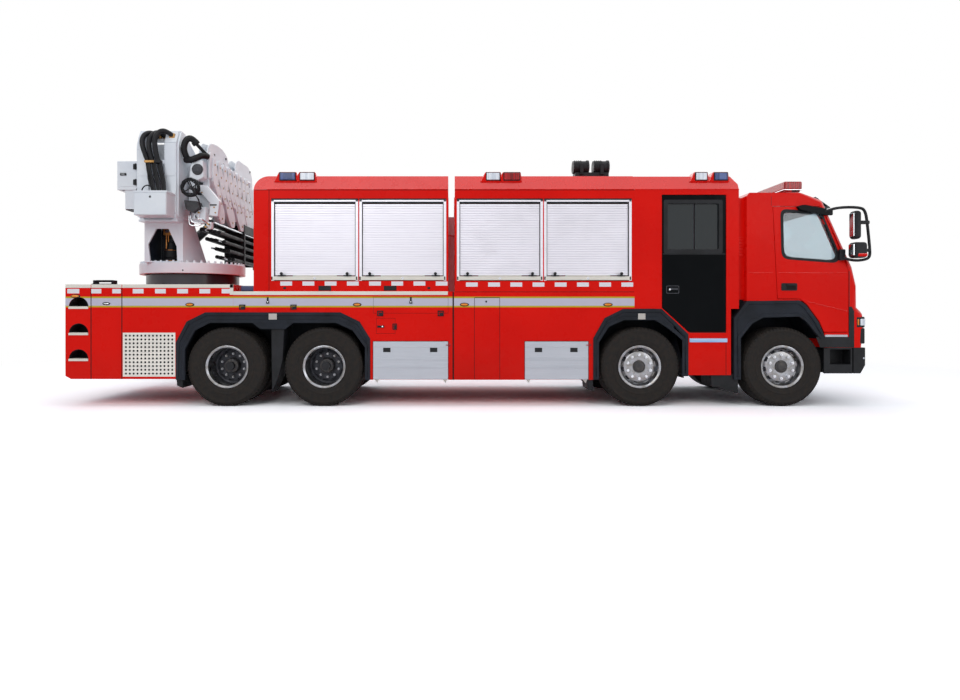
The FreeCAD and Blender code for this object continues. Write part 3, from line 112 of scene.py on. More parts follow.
def emboss(tree, shader, source, depth, strength=1.0, output="Fac"):
    """Bump the surface by a pattern, to a depth in metres."""
    bump = add(tree, "Bump", {"Distance": depth, "Strength": strength}, {"Height": (source, output)})
    tree.links.new(bump.outputs["Normal"], shader.inputs["Normal"])


def vary(tree, shader, socket, source, low, high, output="Fac"):
    """Drive a socket from a pattern, between two values."""
    spread = add(tree, "MapRange", {"From Min": 0.3, "From Max": 0.7, "To Min": low, "To Max": high},
                 {"Value": (source, output)})
    tree.links.new(spread.outputs["Result"], shader.inputs[socket])


def blend_colours(tree, factor, output, first, second):
    """Mix of two colours, each a hex code or another mix."""
    mix = add(tree, "Mix", data_type="RGBA")
    tree.links.new(factor.outputs[output], mix.inputs[0])
    for socket, colour in ((6, first), (7, second)):
        if isinstance(colour, str):
            mix.inputs[socket].default_value = linear(colour)
        else:
            tree.links.new(colour.outputs[2], mix.inputs[socket])
    return mix


def shade(tree, shader, first, second, source, output="Fac"):
    """Soft drift between two near colours."""
    spread = add(tree, "MapRange", {"From Min": 0.35, "From Max": 0.65}, {"Value": (source, output)})
    mix = blend_colours(tree, spread, "Result", first, second)
    tree.links.new(mix.outputs[2], shader.inputs["Base Color"])
    return mix


def between(tree, source, output, low, high):
    """One where a coordinate lies between two heights, else zero."""
    above = add(tree, "Math", {1: low}, {0: (source, output)}, operation="GREATER_THAN")
    below = add(tree, "Math", {1: high}, {0: (source, output)}, operation="LESS_THAN")
    return add(tree, "Math", links={0: (above, "Value"), 1: (below, "Value")}, operation="MULTIPLY")


# The reflective stripe along both sides: a silver band between two thin yellow ones.
STRIPE_LOW, STRIPE_HIGH, STRIPE_EDGE = 1.390, 1.540, 0.022


def red_enamel(name, striped=False):
    """Sprayed enamel under clear lacquer: deep colour, tight reflections, faint orange peel drawn coarse."""
    finish, tree, shader = begin(name, "E4180F", roughness=0.3, coat_weight=0.03, coat_roughness=0.08,
                                 specular_ior_level=0.07)
    drift = grain(tree, 0.9, detail=2.0)
    paint = shade(tree, shader, "E8180F", "DF140C", drift)
    spot = height_of(tree)
    low_down = add(tree, "MapRange", {"From Min": 0.85, "From Max": 0.35, "To Max": 0.16},
                   {"Value": (spot, "Z")})
    speck = grain(tree, 0.12, detail=6.0)
    film = add(tree, "Math", links={0: (low_down, "Result"), 1: (speck, "Fac")}, operation="MULTIPLY")
    paint = blend_colours(tree, film, "Value", paint, "7A3A2A")
    if striped:
        wide = between(tree, spot, "Z", STRIPE_LOW, STRIPE_HIGH)
        core = between(tree, spot, "Z", STRIPE_LOW + STRIPE_EDGE, STRIPE_HIGH - STRIPE_EDGE)
        face = add(tree, "NewGeometry")
        normal = add(tree, "SeparateXYZ", links={"Vector": (face, "Normal")})
        flat = add(tree, "Math", links={0: (normal, "Y")}, operation="ABSOLUTE")
        outward = add(tree, "Math", {1: 0.9}, {0: (flat, "Value")}, operation="GREATER_THAN")
        offset = add(tree, "Math", {1: ZERO.y}, {0: (spot, "Y")}, operation="SUBTRACT")
        reach = add(tree, "Math", links={0: (offset, "Value")}, operation="ABSOLUTE")
        outer = add(tree, "Math", {1: SIDE - 0.01}, {0: (reach, "Value")}, operation="GREATER_THAN")
        skin = add(tree, "Math", links={0: (outward, "Value"), 1: (outer, "Value")}, operation="MULTIPLY")
        band = add(tree, "Math", links={0: (wide, "Value"), 1: (skin, "Value")}, operation="MULTIPLY")
        middle = add(tree, "Math", links={0: (core, "Value"), 1: (skin, "Value")}, operation="MULTIPLY")
        paint = blend_colours(tree, band, "Value", paint, "C4AE36")
        paint = blend_colours(tree, middle, "Value", paint, "C9C6D6")
    tree.links.new(paint.outputs[2], shader.inputs["Base Color"])
    # Upright and level panels stay dull, so that sky and roofs don't bleach them; slopes carry the lacquer.
    lean = add(tree, "SeparateXYZ", links={"Vector": (add(tree, "NewGeometry"), "Normal")})
    level = add(tree, "Math", {0: 1.0}, {1: (lean, "Z")}, operation="SUBTRACT")
    slope = add(tree, "Math", links={0: (lean, "Z"), 1: (level, "Value")}, operation="MULTIPLY")
    for socket, low, high in (("Coat Weight", 0.03, 1.0), ("Specular IOR Level", 0.07, 0.6)):
        lacquer = add(tree, "MapRange", {"From Min": 0.02, "From Max": 0.22, "To Min": low, "To Max": high},
                      {"Value": (slope, "Value")})
        tree.links.new(lacquer.outputs["Result"], shader.inputs[socket])
    vary(tree, shader, "Roughness", speck, 0.24, 0.34)
    emboss(tree, shader, grain(tree, 0.05, detail=1.0), 0.0001)
    return finish


def plain_enamel(name, first, second, roughness=0.35, wave=0.06, shine=0.5):
    """Sprayed two-pack paint on welded plate: soft gloss, slightly uneven plate behind it."""
    finish, tree, shader = begin(name, first, coat_weight=0.5 * shine, coat_roughness=0.12,
                                 specular_ior_level=shine)
    shade(tree, shader, first, second, grain(tree, 0.5, detail=3.0))
    vary(tree, shader, "Roughness", grain(tree, 0.15, detail=5.0), roughness - 0.06, roughness + 0.08)
    emboss(tree, shader, grain(tree, wave, detail=2.0), 0.0008)
    return finish


def moulded_plastic(name, first, second, roughness=0.55, pebble=0.02, shine=0.2):
    """Injection-moulded plastic: dull sheen over a fine pebble grain, drawn coarse enough to show."""
    finish, tree, shader = begin(name, first, specular_ior_level=shine)
    shade(tree, shader, first, second, grain(tree, 0.3))
    vary(tree, shader, "Roughness", grain(tree, 0.08, detail=5.0), roughness - 0.08, roughness + 0.1)
    emboss(tree, shader, grain(tree, pebble, detail=4.0), 0.0012)
    return finish


def brushed_metal(name, first, second, roughness=0.34, length=0.6, line=0.01):
    """Rolled and brushed sheet: fine lines along the truck, uneven gloss."""
    finish, tree, shader = begin(name, first, metallic=0.85)
    lines = grain(tree, line, stretch=(length / line, 1, 1), detail=2.0)
    shade(tree, shader, first, second, lines)
    vary(tree, shader, "Roughness", grain(tree, 0.2, detail=4.0), roughness - 0.08, roughness + 0.1)
    emboss(tree, shader, lines, 0.00015)
    return finish


def turned_metal(name, first, second, metallic=1.0, roughness=0.25, spot=0.06):
    """Forged and machined metal with a light road film."""
    finish, tree, shader = begin(name, first, metallic=metallic)
    shade(tree, shader, first, second, grain(tree, spot, detail=6.0))
    vary(tree, shader, "Roughness", grain(tree, spot * 1.5, detail=5.0), roughness - 0.08, roughness + 0.15)
    emboss(tree, shader, grain(tree, 0.015, detail=3.0), 0.0004)
    return finish


def tyre_rubber():
    """Vulcanised rubber, brown with dry road dust, duller on the tread than on the sidewall."""
    finish, tree, shader = begin("vulcanised_tyre_rubber", "221F1D", specular_ior_level=0.2)
    dust = grain(tree, 0.07, detail=7.0)
    shade(tree, shader, "1B1918", "2C2723", dust)
    vary(tree, shader, "Roughness", dust, 0.6, 0.85)
    emboss(tree, shader, grain(tree, 0.012, detail=5.0), 0.0015)
    return finish


def tinted_glass(name, colour, amount, roughness=0.02):
    """Laminated glass: mostly reflection, with the room behind it showing through its tint."""
    finish, tree, shader = begin(name, colour, roughness=roughness, ior=1.5, transmission_weight=amount)
    sheet_wave = grain(tree, 0.4, detail=1.0)
    emboss(tree, shader, sheet_wave, 0.0008)
    return finish


def lamp_lens(name, first, second, rib=0.02, glow=0.0):
    """Moulded lens: fine upright ribs behind a glossy face."""
    finish, tree, shader = begin(name, first, roughness=0.12, coat_weight=0.2, ior=1.5,
                                 specular_ior_level=0.3)
    ribs = grain(tree, rib, stretch=(1, 1, 20), detail=0.0)
    shade(tree, shader, first, second, ribs)
    emboss(tree, shader, ribs, 0.002)
    shader.inputs["Emission Color"].default_value = linear(first)
    shader.inputs["Emission Strength"].default_value = glow
    return finish


def reflective_film(name, first, second):
    """Prismatic film: a fine honeycomb under a smooth face."""
    finish, tree, shader = begin(name, first, roughness=0.35, coat_weight=0.5)
    place = add(tree, "TexCoord")
    fitted = add(tree, "Mapping", {"Scale": (60, 60, 60)}, {"Vector": (place, "Object")})
    cells = add(tree, "TexVoronoi", {"Scale": 1.0}, {"Vector": (fitted, "Vector")},
                feature="DISTANCE_TO_EDGE")
    shade(tree, shader, first, second, cells, "Distance")
    emboss(tree, shader, cells, 0.0005, output="Distance")
    return finish


def woven_cloth(name, first, second):
    """Woven seat cloth: a coarse weave with a soft sheen."""
    finish, tree, shader = begin(name, first, roughness=0.9, sheen_weight=0.4)
    place = add(tree, "TexCoord")
    fitted = add(tree, "Mapping", {"Scale": (160, 160, 160)}, {"Vector": (place, "Object")})
    weave = add(tree, "TexWave", {"Scale": 1.0, "Distortion": 1.5}, {"Vector": (fitted, "Vector")})
    shade(tree, shader, first, second, weave)
    emboss(tree, shader, weave, 0.001)
    return finish


RED = red_enamel("red_enamel")
RED_STRIPED = red_enamel("red_enamel_striped", striped=True)
WHITE = plain_enamel("pale_boom_enamel", "E8ECF0", "DEE3EA", shine=0.35)
CREAM = plain_enamel("cream_edge_trim", "EDE8DC", "E4DED2", roughness=0.4)
BLACK_FRAME = plain_enamel("satin_chassis_enamel", "1C1D20", "26272B", roughness=0.5, shine=0.2)
# The ring's navy-black enamel also paints the shadow inside the turret pedestal's arch opening.
RING_BLUE = plain_enamel("navy_black_ring_enamel_and_pedestal_shadow", "20242E", "2A303D", roughness=0.4)
ARCH = moulded_plastic("blue_grey_moulded_arch", "1B1E23", "262A32", roughness=0.5, shine=0.14)
# Black moulded plastic; as liners in the rear step recesses and behind the cooling opening it is painted
# shade.
BLACK_PLASTIC_AND_SHADE = moulded_plastic("black_moulded_plastic_and_recess_shade", "17181A", "222326", roughness=0.5)
# Dark panel gaps; the same dark also paints the shade in the cab door handles' cups, the crew toe spaces and
# the holes in the arm's hump plates.
SEAM_AND_SHADE = moulded_plastic("dark_panel_gap_and_recess_shade", "120B0B", "1A1010", roughness=0.8)
RUBBER = moulded_plastic("black_hose_rubber", "141416", "1F1F23", roughness=0.45, pebble=0.01)
DARK_GLOSS = plain_enamel("gloss_black_door_enamel", "04070A", "080B0E", roughness=0.14, shine=0.05)
TYRE = tyre_rubber()
WHEEL = turned_metal("forged_wheel_aluminium", "9EA0A6", "85827F", roughness=0.3)
# Darker wheel grey; in the wheels' hand holes and the boom tip's cup recess it is painted shade.
WHEEL_DARK = turned_metal("dark_wheel_grey_and_hole_shade", "44454B", "2E2F34", metallic=0.5, roughness=0.55)
HUB = turned_metal("dark_cast_hub", "37373A", "4A4643", metallic=0.5, roughness=0.45)
# Cast iron grey; on the boom tip the same grey paints the shade in the cup's recess and the shadow under the
# cable coil.
IRON_AND_SHADE = turned_metal("painted_cast_iron_and_tip_shade", "3A3B3E", "2C2C2F", metallic=0.3, roughness=0.6)
CHROME = turned_metal("hard_chromed_steel", "DADCE0", "C8CACF", roughness=0.12)
BRONZE = turned_metal("bronze_bolt_head", "B08A57", "8C6A3F", roughness=0.35)
COPPER = turned_metal("copper_block", "C98B52", "A86C3C", roughness=0.35)
SLATS = brushed_metal("anodised_shutter_slats", "DAD8DF", "D5D3DB", roughness=0.42)
SHEET = brushed_metal("brushed_locker_sheet", "AEB2B9", "A6AAB2", roughness=0.4, line=0.005)
GRILLE = brushed_metal("perforated_steel_sheet", "DCD8D0", "C6C3BE", roughness=0.4)
CAB_GLASS = tinted_glass("laminated_cab_glass", "D5E2E8", 0.9)
DARK_GLASS = tinted_glass("smoked_crew_glass", "1A2529", 0.3)
MIRROR = turned_metal("silvered_mirror", "D5DADD", "CCD2D6", roughness=0.06)
WHITE_LENS = lamp_lens("white_lamp_lens", "E6EAF0", "C9D0DA", glow=0.1)
RED_LENS = lamp_lens("red_lamp_lens", "B01018", "6E0810", glow=0.1)
BLUE_LENS = lamp_lens("blue_lamp_lens", "4A5E96", "2A3A66", glow=0.08)
AMBER_LENS = lamp_lens("amber_lamp_lens", "E08A18", "B86408", rib=0.01, glow=0.25)
FILM = reflective_film("white_reflective_film", "E9E7EC", "D6D4DC")
CLOTH = woven_cloth("woven_seat_cloth", "2A2B2F", "3A3B41")
# Aluminium step edge; the blue in its colour is a painted sky reflection.
BLUE_STEP = brushed_metal("aluminium_step_edge_painted_sky_blue", "7FA3CC", "A8BCD4", roughness=0.35)
NAVY = plain_enamel("navy_cover_enamel", "27305E", "20284F", roughness=0.4)
PLATE = plain_enamel("blank_plate_enamel", "C9C3BC", "B9B3AC", roughness=0.4)

FINISHES = {
    "chassis_frame": BLACK_FRAME, "cross_members": BLACK_FRAME, "engine_block": IRON_AND_SHADE, "axles": BLACK_FRAME,
    "wheel_arches": ARCH, "rear_deck_body": RED_STRIPED, "side_grilles": GRILLE,
    "lower_locker_body": RED_STRIPED,
    "upper_locker_bodies": RED, "roller_shutters": SLATS, "crew_cabin": RED, "cab_shell": RED,
    "windscreen": CAB_GLASS, "seats": CLOTH, "dashboard": BLACK_PLASTIC_AND_SHADE, "bumpers": BLACK_PLASTIC_AND_SHADE,
    "cab_steps": BLACK_PLASTIC_AND_SHADE, "roof_lamps": BLACK_PLASTIC_AND_SHADE, "boom_cradle": WHITE,
    "turntable_ring": RING_BLUE, "turntable_disc": WHITE, "turret_frame": WHITE,
    "turret_cabinets": WHITE, "main_arm": WHITE, "fold_arm": WHITE,
    "telescope_section_1": WHITE, "telescope_section_2": WHITE, "telescope_section_3": WHITE,
    "luff_barrel": BLACK_FRAME, "luff_rod": CHROME}
for side, _ in SIDES:
    for axle in "12":
        FINISHES["knuckle_%s_%s" % (axle, side)] = IRON_AND_SHADE
    for axle in "1234":
        FINISHES["tyre_%s_%s" % (axle, side)] = TYRE
        FINISHES["rim_%s_%s" % (axle, side)] = WHEEL
    FINISHES.update({"cab_door_" + side: RED, "mirror_" + side: BLACK_PLASTIC_AND_SHADE,
                     "crew_door_" + side: DARK_GLOSS,
                     "locker_flap_rear_" + side: SHEET, "locker_flap_front_" + side: SHEET})
BODY_OF = {node: body for body, members in frame["record"]["behaviour"]["bodies"].items() for node in members}
for node, finish in FINISHES.items():
    nodes[node].data.materials.clear()
    nodes[node].data.materials.append(finish)


# ---------------------------------------------------------------- modelling

def block(bm, low, high):
    """Box between two corners, given in any order."""
    low, high = Vector(map(min, low, high)), Vector(map(max, low, high))
    spot = Matrix.Translation((low + high) / 2) @ Matrix.Diagonal((*(high - low), 1))
    return bmesh.ops.create_cube(bm, size=1, matrix=spot)["verts"]


def drum(bm, start, end, radius, tip=None, sides=20):
    """Round bar or cone from one point to another."""
    start, end = Vector(start), Vector(end)
    turn = (end - start).to_track_quat("Z", "Y").to_matrix().to_4x4()
    spot = Matrix.Translation((start + end) / 2) @ turn
    return bmesh.ops.create_cone(bm, cap_ends=True, segments=sides, radius1=radius,
                                 radius2=radius if tip is None else tip, depth=(end - start).length,
                                 matrix=spot)["verts"]


def plate(bm, corners, shift):
    """Flat outline, thickened by a shift."""
    face = bm.faces.new([bm.verts.new(corner) for corner in corners])
    grown = bmesh.ops.extrude_face_region(bm, geom=[face])["geom"]
    bmesh.ops.translate(bm, vec=Vector(shift),
                        verts=[part for part in grown if isinstance(part, bmesh.types.BMVert)])


def dome(bm, centre, reach):
    """Half-sunk rounded cap with its own reach along each axis."""
    spot = Matrix.Translation(Vector(centre)) @ Matrix.Diagonal((*reach, 1))
    bmesh.ops.create_uvsphere(bm, u_segments=20, v_segments=12, radius=1, matrix=spot)


def lathe(bm, profile, centre, out, steps=72):
    """Profile of (radius, outward distance) turned about the axle through a centre."""
    verts = [bm.verts.new(centre + Vector((radius, out * distance, 0))) for radius, distance in profile]
    edges = [bm.edges.new(pair) for pair in zip(verts, verts[1:])]
    bmesh.ops.spin(bm, geom=verts + edges, cent=centre, axis=(0, 1, 0), angle=math.tau, steps=steps,
                   use_merge=True)


def piece(name, bm, finish, body, bevel=0.0, segments=2, smooth=35):
    """Make a bmesh a finished piece that rides on a body."""
    bmesh.ops.recalc_face_normals(bm, faces=bm.faces)
    mesh = bpy.data.meshes.new(name)
    bm.to_mesh(mesh)
    bm.free()
    for layer in finish if isinstance(finish, (list, tuple)) else [finish]:
        mesh.materials.append(layer)
    return place_mesh(name, mesh, body, bevel, segments, smooth)


def place_mesh(name, mesh, body, bevel, segments, smooth):
    """Put a mesh into the scene as a smooth piece with rounded edges, riding on its body."""
    made = bpy.data.objects.new(name, mesh)
    bpy.context.scene.collection.objects.link(made)
    for face in mesh.polygons:
        face.use_smooth = True
    mesh.set_sharp_from_angle(angle=math.radians(smooth))
    if bevel:
        rounding = made.modifiers.new("rounded_edges", "BEVEL")
        rounding.width = bevel
        rounding.segments = segments
        rounding.limit_method = "ANGLE"
        rounding.angle_limit = math.radians(30)
        rounding.harden_normals = True
    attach(made, body)
    return made


def softened(node, bevel, reshape=None, segments=2):
    """Copy of a CAD node with its doubles merged, its flat faces whole and its edges rounded."""
    bm = bmesh.new()
    bm.from_mesh(nodes[node].data)
    bmesh.ops.remove_doubles(bm, verts=bm.verts, dist=0.00002)
    bmesh.ops.dissolve_limit(bm, angle_limit=math.radians(1), verts=bm.verts, edges=bm.edges)
    if reshape:
        reshape(bm)
    mesh = bpy.data.meshes.new(node + "_shell")
    bm.to_mesh(mesh)
    bm.free()
    mesh.materials.clear()
    mesh.materials.append(FINISHES[node])
    made = place_mesh(node + "_shell", mesh, BODY_OF[node], bevel, segments, 30)
    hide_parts(node)
    return made


def pipe(name, routes, radius, finish, body, detail=3):
    """Round pipes or hoses, each along a smooth line through its points."""
    curve = bpy.data.curves.new(name, "CURVE")
    curve.dimensions = "3D"
    curve.bevel_depth = radius
    curve.bevel_resolution = detail
    curve.use_fill_caps = True
    curve.resolution_u = 6
    for route in routes:
        spline = curve.splines.new("NURBS")
        spline.points.add(len(route) - 1)
        for point, place in zip(spline.points, route):
            point.co = (*place, 1)
        spline.order_u = 3
        spline.use_endpoint_u = True
    holder = bpy.data.objects.new(name + "_line", curve)
    mesh = bpy.data.meshes.new_from_object(holder)
    mesh.name = name
    mesh.materials.clear()
    mesh.materials.append(finish)
    bpy.data.objects.remove(holder)
    return place_mesh(name, mesh, body, 0, 1, 60)


def slab(bm, x, y, z):
    """Box between two limits along each of the truck's axes."""
    block(bm, at(x[0], y[0], z[0]), at(x[1], y[1], z[1]))


def both(bm, x, y, z):
    """The same box on both sides, with Y counted outwards."""
    for _, out in SIDES:
        slab(bm, x, (out * y[0], out * y[1]), z)


def side_plate(bm, out, outline, proud, depth=0.0):
    """Outline of (X, Z) points on a side face, standing proud of it from a depth inside."""
    plate(bm, [at(x, out * (SIDE - depth), z) for x, z in outline], (0, out * (proud + depth), 0))


def swollen(outline, amount):
    """Outline moved outwards on every side by an amount."""
    spans = [(min(line), max(line)) for line in zip(*outline)]
    return [tuple(middle + (value - middle) * (1 + amount / half)
                  for value, middle, half in zip(point, [sum(span) / 2 for span in spans],
                                                 [(span[1] - span[0]) / 2 for span in spans]))
            for point in outline]


def eased(outline, reach, steps=4):
    """Outline with each corner turned into a short curve."""
    line = []
    corners = [Vector(point) for point in outline]
    for before, corner, after in zip(corners[-1:] + corners[:-1], corners, corners[1:] + corners[:1]):
        start = corner + (before - corner).normalized() * min(reach, (before - corner).length * 0.45)
        end = corner + (after - corner).normalized() * min(reach, (after - corner).length * 0.45)
        for turn in range(steps + 1):
            share = turn / steps
            line.append(tuple(start * (1 - share) ** 2 + corner * 2 * share * (1 - share) + end * share ** 2))
    return line


def hoop(bm, rows):
    """Closed frame through four rings of equally many points."""
    rings = [[bm.verts.new(point) for point in row] for row in rows]
    for first, second in zip(rings, rings[1:] + rings[:1]):
        for place in range(len(first)):
            bm.faces.new((first[place - 1], first[place], second[place], second[place - 1]))


def window_seal(bm, out, outline, wide, proud, depth):
    """Rubber frame of a side window, running inwards from an outline of (X, Z) points."""
    inner = swollen(outline, -wide)
    rows = ((outline, proud), (inner, proud), (inner, -depth), (outline, -depth))
    hoop(bm, [[at(x, out * (SIDE + level), z) for x, z in line] for line, level in rows])


# Side view of the cab's front, from the skirt up to the roof.
NOSE = ((0.826, 5.545), (1.127, 5.572), (1.308, 5.560), (1.392, 5.475), (1.700, 5.470), (1.960, 5.410),
        (2.898, 4.990), (2.996, 4.700))


def nose_x(z):
    """How far forward the cab's front is at a height."""
    for (low, first), (high, second) in zip(NOSE, NOSE[1:]):
        if z <= high:
            return first + (second - first) * (z - low) / (high - low)
    return NOSE[-1][1]


def nose_plate(bm, y, z, proud, sink=0.01):
    """Panel on the cab's front between two Y and two Z limits, following its slope."""
    corners = [at(nose_x(height) - sink, across, height)
               for across, height in ((y[0], z[0]), (y[1], z[0]), (y[1], z[1]), (y[0], z[1]))]
    plate(bm, corners, (proud + sink, 0, 0))


def cab_corners(bm):
    """Round the two front corners of the cab."""
    picked = []
    for edge in bm.edges:
        middle = (edge.verts[0].co + edge.verts[1].co) / 2 - ZERO
        if all(abs(abs(vert.co.y - ZERO.y) - SIDE) < 0.002 for vert in edge.verts) and middle.z > 0.83 \
                and abs(middle.x - nose_x(middle.z)) < 0.012:
            picked.append(edge)
    bmesh.ops.bevel(bm, geom=picked, offset=0.05, offset_type="OFFSET", segments=4, profile=0.5,
                    affect="EDGES", clamp_overlap=True, material=-1)


# ---------------------------------------------------------------- padded seats

PAD_RISE = 0.016


def padded(name, shapes):
    """Stuffed covers: blocks remeshed evenly, blown up as cloth and held within a small rise."""
    bm = bmesh.new()
    for low, high in shapes:
        block(bm, at(*low), at(*high))
    made = piece(name, bm, CLOTH, "chassis", smooth=180)
    even = made.modifiers.new("even_faces", "REMESH")
    even.mode = "VOXEL"
    even.voxel_size = 0.02
    graph = bpy.context.evaluated_depsgraph_get()
    made.data = bpy.data.meshes.new_from_object(made.evaluated_get(graph))
    made.modifiers.clear()
    start = [vert.co.copy() for vert in made.data.vertices]
    cover = made.modifiers.new("stuffing", "CLOTH")
    cover.settings.use_pressure = True
    cover.settings.uniform_pressure_force = 4
    cover.settings.effector_weights.gravity = 0
    for step in range(1, 21):
        bpy.context.scene.frame_set(step)
    graph = bpy.context.evaluated_depsgraph_get()
    swollen_mesh = bpy.data.meshes.new_from_object(made.evaluated_get(graph))
    made.modifiers.clear()
    bpy.context.scene.frame_set(1)
    for vert, before in zip(swollen_mesh.vertices, start):
        shift = vert.co - before
        if shift.length > PAD_RISE:
            vert.co = before + shift * (PAD_RISE / shift.length)
    made.data = swollen_mesh
    for face in made.data.polygons:
        face.use_smooth = True
    made.data.name = name
    rounder = made.modifiers.new("rounder", "SUBSURF")
    rounder.levels = rounder.render_levels = 1
    return made


def seats():
    """Two chairs in the cab and a bench for four in the crew cabin, on plain pedestals."""
    shapes = []
    for _, out in SIDES:
        middle = out * 0.6
        for low, high, rise in ((-0.235, -0.150, 0.020), (-0.143, 0.143, 0), (0.150, 0.235, 0.020)):
            shapes.append(((4.250, middle + low, 1.800), (4.710, middle + high, 1.920 + rise)))
            shapes.append(((4.172, middle + low, 1.975), (4.262 + rise, middle + high, 2.330)))
        shapes.append(((4.185, middle - 0.12, 2.375), (4.260, middle + 0.12, 2.560)))
    chairs = padded("cab_seat_pads", shapes)
    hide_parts("seats")
    shapes = []
    for turn in range(4):
        low, high = -0.985 + turn * 0.495, -0.985 + turn * 0.495 + 0.480
        shapes.append(((2.440, low, 1.690), (2.890, high, 1.835)))
        for bottom, top in ((1.890, 2.170), (2.180, 2.470)):
            shapes.append(((2.440, low, bottom), (2.510, high, top)))
    padded("crew_bench_pads", shapes)
    bm = bmesh.new()
    for _, out in SIDES:
        slab(bm, (4.280, 4.690), (out * 0.40, out * 0.80), (1.541, 1.800))
        slab(bm, (4.155, 4.200), (out * 0.42, out * 0.78), (1.800, 2.340))
        for y in (0.54, 0.66):
            drum(bm, at(4.215, out * y, 2.300), at(4.215, out * y, 2.420), 0.008)
    slab(bm, (2.430, 2.870), (-0.98, 0.98), (1.421, 1.680))
    slab(bm, (2.421, 2.446), (-0.99, 0.99), (1.680, 2.490))
    piece("seat_pedestals", bm, BLACK_PLASTIC_AND_SHADE, "chassis", bevel=0.01)


seats()


# ---------------------------------------------------------------- body panels

def arch_steps(bm):
    """Press a shallow channel into the outer face of each arch band."""
    faces = [face for face in bm.faces if abs(face.normal.y) > 0.99
             and abs(face.calc_center_median().y - ZERO.y) > SIDE + 0.008]
    bmesh.ops.inset_region(bm, faces=faces, thickness=0.045, use_even_offset=False)
    bmesh.ops.inset_region(bm, faces=faces, thickness=0.008, depth=-0.012, use_even_offset=False)


def buffer_faces(bm):
    """Sink the middle of the front bumper's face and of the tail buffer's face a few millimetres."""
    low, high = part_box("bumpers")
    for edge, out in ((low.x, -1), (high.x, 1)):
        faces = [face for face in bm.faces if face.normal.x * out > 0.99
                 and abs(face.calc_center_median().x - edge) < 0.002]
        bmesh.ops.inset_region(bm, faces=faces, thickness=0.022, use_even_offset=False)
        bmesh.ops.inset_region(bm, faces=faces, thickness=0.004, depth=-0.008, use_even_offset=False)


RESHAPES = {"cab_shell": cab_corners, "wheel_arches": arch_steps, "bumpers": buffer_faces}
for node, bevel in (("rear_deck_body", 0.006), ("lower_locker_body", 0.006), ("upper_locker_bodies", 0.012),
                    ("crew_cabin", 0.014), ("cab_shell", 0.02), ("wheel_arches", 0.012), ("bumpers", 0.02),
                    ("cab_steps", 0.008), ("turntable_disc", 0.008), ("turntable_ring", 0.004),
                    ("turret_frame", 0.008), ("turret_cabinets", 0.01), ("main_arm", 0.008),
                    ("fold_arm", 0.006), ("telescope_section_1", 0.005), ("telescope_section_2", 0.005),
                    ("telescope_section_3", 0.005), ("boom_cradle", 0.005), ("chassis_frame", 0.006),
                    ("cross_members", 0.006), ("dashboard", 0.012)):
    softened(node, bevel, RESHAPES.get(node))
for side, _ in SIDES:
    softened("cab_door_" + side, 0.012)
    softened("crew_door_" + side, 0.008)
    for row in ("rear", "front"):
        softened("locker_flap_%s_%s" % (row, side), 0.004)


# ---------------------------------------------------------------- wheels

def tyre_profile(width):
    """Closed section of a tyre: beads, ringed sidewalls, shoulders and a tread with four grooves."""
    half = width / 2
    wall = [(0.290, half - 0.026), (0.303, half - 0.024), (0.311, half - 0.012), (0.330, half - 0.010),
            (0.334, half - 0.006), (0.372, half - 0.003), (0.376, half), (0.384, half), (0.388, half - 0.003),
            (0.440, half), (0.492, half - 0.003), (0.498, half), (0.506, half - 0.004), (0.515, half - 0.007),
            (0.541, half - 0.016), (0.555, half - 0.042)]
    tread = []
    for share in (0.62, 0.2, -0.2, -0.62):
        middle = half * share
        tread += [(0.555, middle + 0.008), (0.541, middle + 0.005), (0.541, middle - 0.005),
                  (0.555, middle - 0.008)]
    return wall + tread + [(radius, -side) for radius, side in reversed(wall)] + [wall[0]]


def notch(bm, centre, low, high, every, depth):
    """Press every second or third face of a radius band inwards, as tread notches."""
    picked = []
    for face in bm.faces:
        spot = face.calc_center_median() - centre
        radius = math.hypot(spot.x, spot.z)
        turn = math.floor((math.atan2(spot.z, spot.x) / math.tau + 1) * TREAD_STEPS + 0.01)
        if low < radius < high and turn % every == 0:
            picked.append(face)
    bmesh.ops.inset_individual(bm, faces=picked, thickness=0.0015, depth=-depth)


TREAD_STEPS = 132
# Half the distance between the middles of twin tyres, and the radius of the ring of wheel nuts.
TWIN_HALF, NUT_RING = 0.165, 0.1675


def tyre(node, width, middles):
    """One or two rings of tread with notched shoulders, standing for a CAD tyre."""
    low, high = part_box(node)
    bm = bmesh.new()
    for middle in middles:
        centre = (low + high) / 2 + Vector((0, middle, 0))
        ring = bmesh.new()
        lathe(ring, tyre_profile(width), centre, 1, TREAD_STEPS)
        bmesh.ops.recalc_face_normals(ring, faces=ring.faces)
        notch(ring, centre, 0.52, 0.5535, 2, 0.007)
        ready = bpy.data.meshes.new("ring")
        ring.to_mesh(ready)
        ring.free()
        bm.from_mesh(ready)
        bpy.data.meshes.remove(ready)
    made = piece(node + "_tread", bm, TYRE, BODY_OF[node], smooth=40)
    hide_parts(node)


def hand_holes(bm, centre, low, high, count, steps, wide, depth):
    """Sunk windows in a ring of the wheel disc, their insides in the darker grey as painted shade of the
    holes.
    """
    every = steps // count
    groups = {}
    for face in bm.faces:
        spot = face.calc_center_median() - centre
        radius = math.hypot(spot.x, spot.z)
        turn = math.floor((math.atan2(spot.z, spot.x) / math.tau + 1) * steps + 0.01) % steps
        if low < radius < high and abs(spot.y) > 0 and turn % every < wide and face.material_index == 0:
            groups.setdefault((turn // every, spot.y > 0), []).append(face)
    for faces in groups.values():
        bmesh.ops.inset_region(bm, faces=faces, thickness=0.006, depth=-depth, use_even_offset=True)
        for face in faces:
            face.material_index = 1


def studs(bm, centre, out, ring, start, end, radius, count, sides=6):
    """Ring of bars round the axle, such as nuts and bolt heads."""
    for turn in range(count):
        angle = math.tau * (turn + 0.5) / count
        spot = centre + Vector((ring * math.cos(angle), 0, ring * math.sin(angle)))
        drum(bm, spot + Vector((0, out * start, 0)), spot + Vector((0, out * end, 0)), radius, sides=sides)


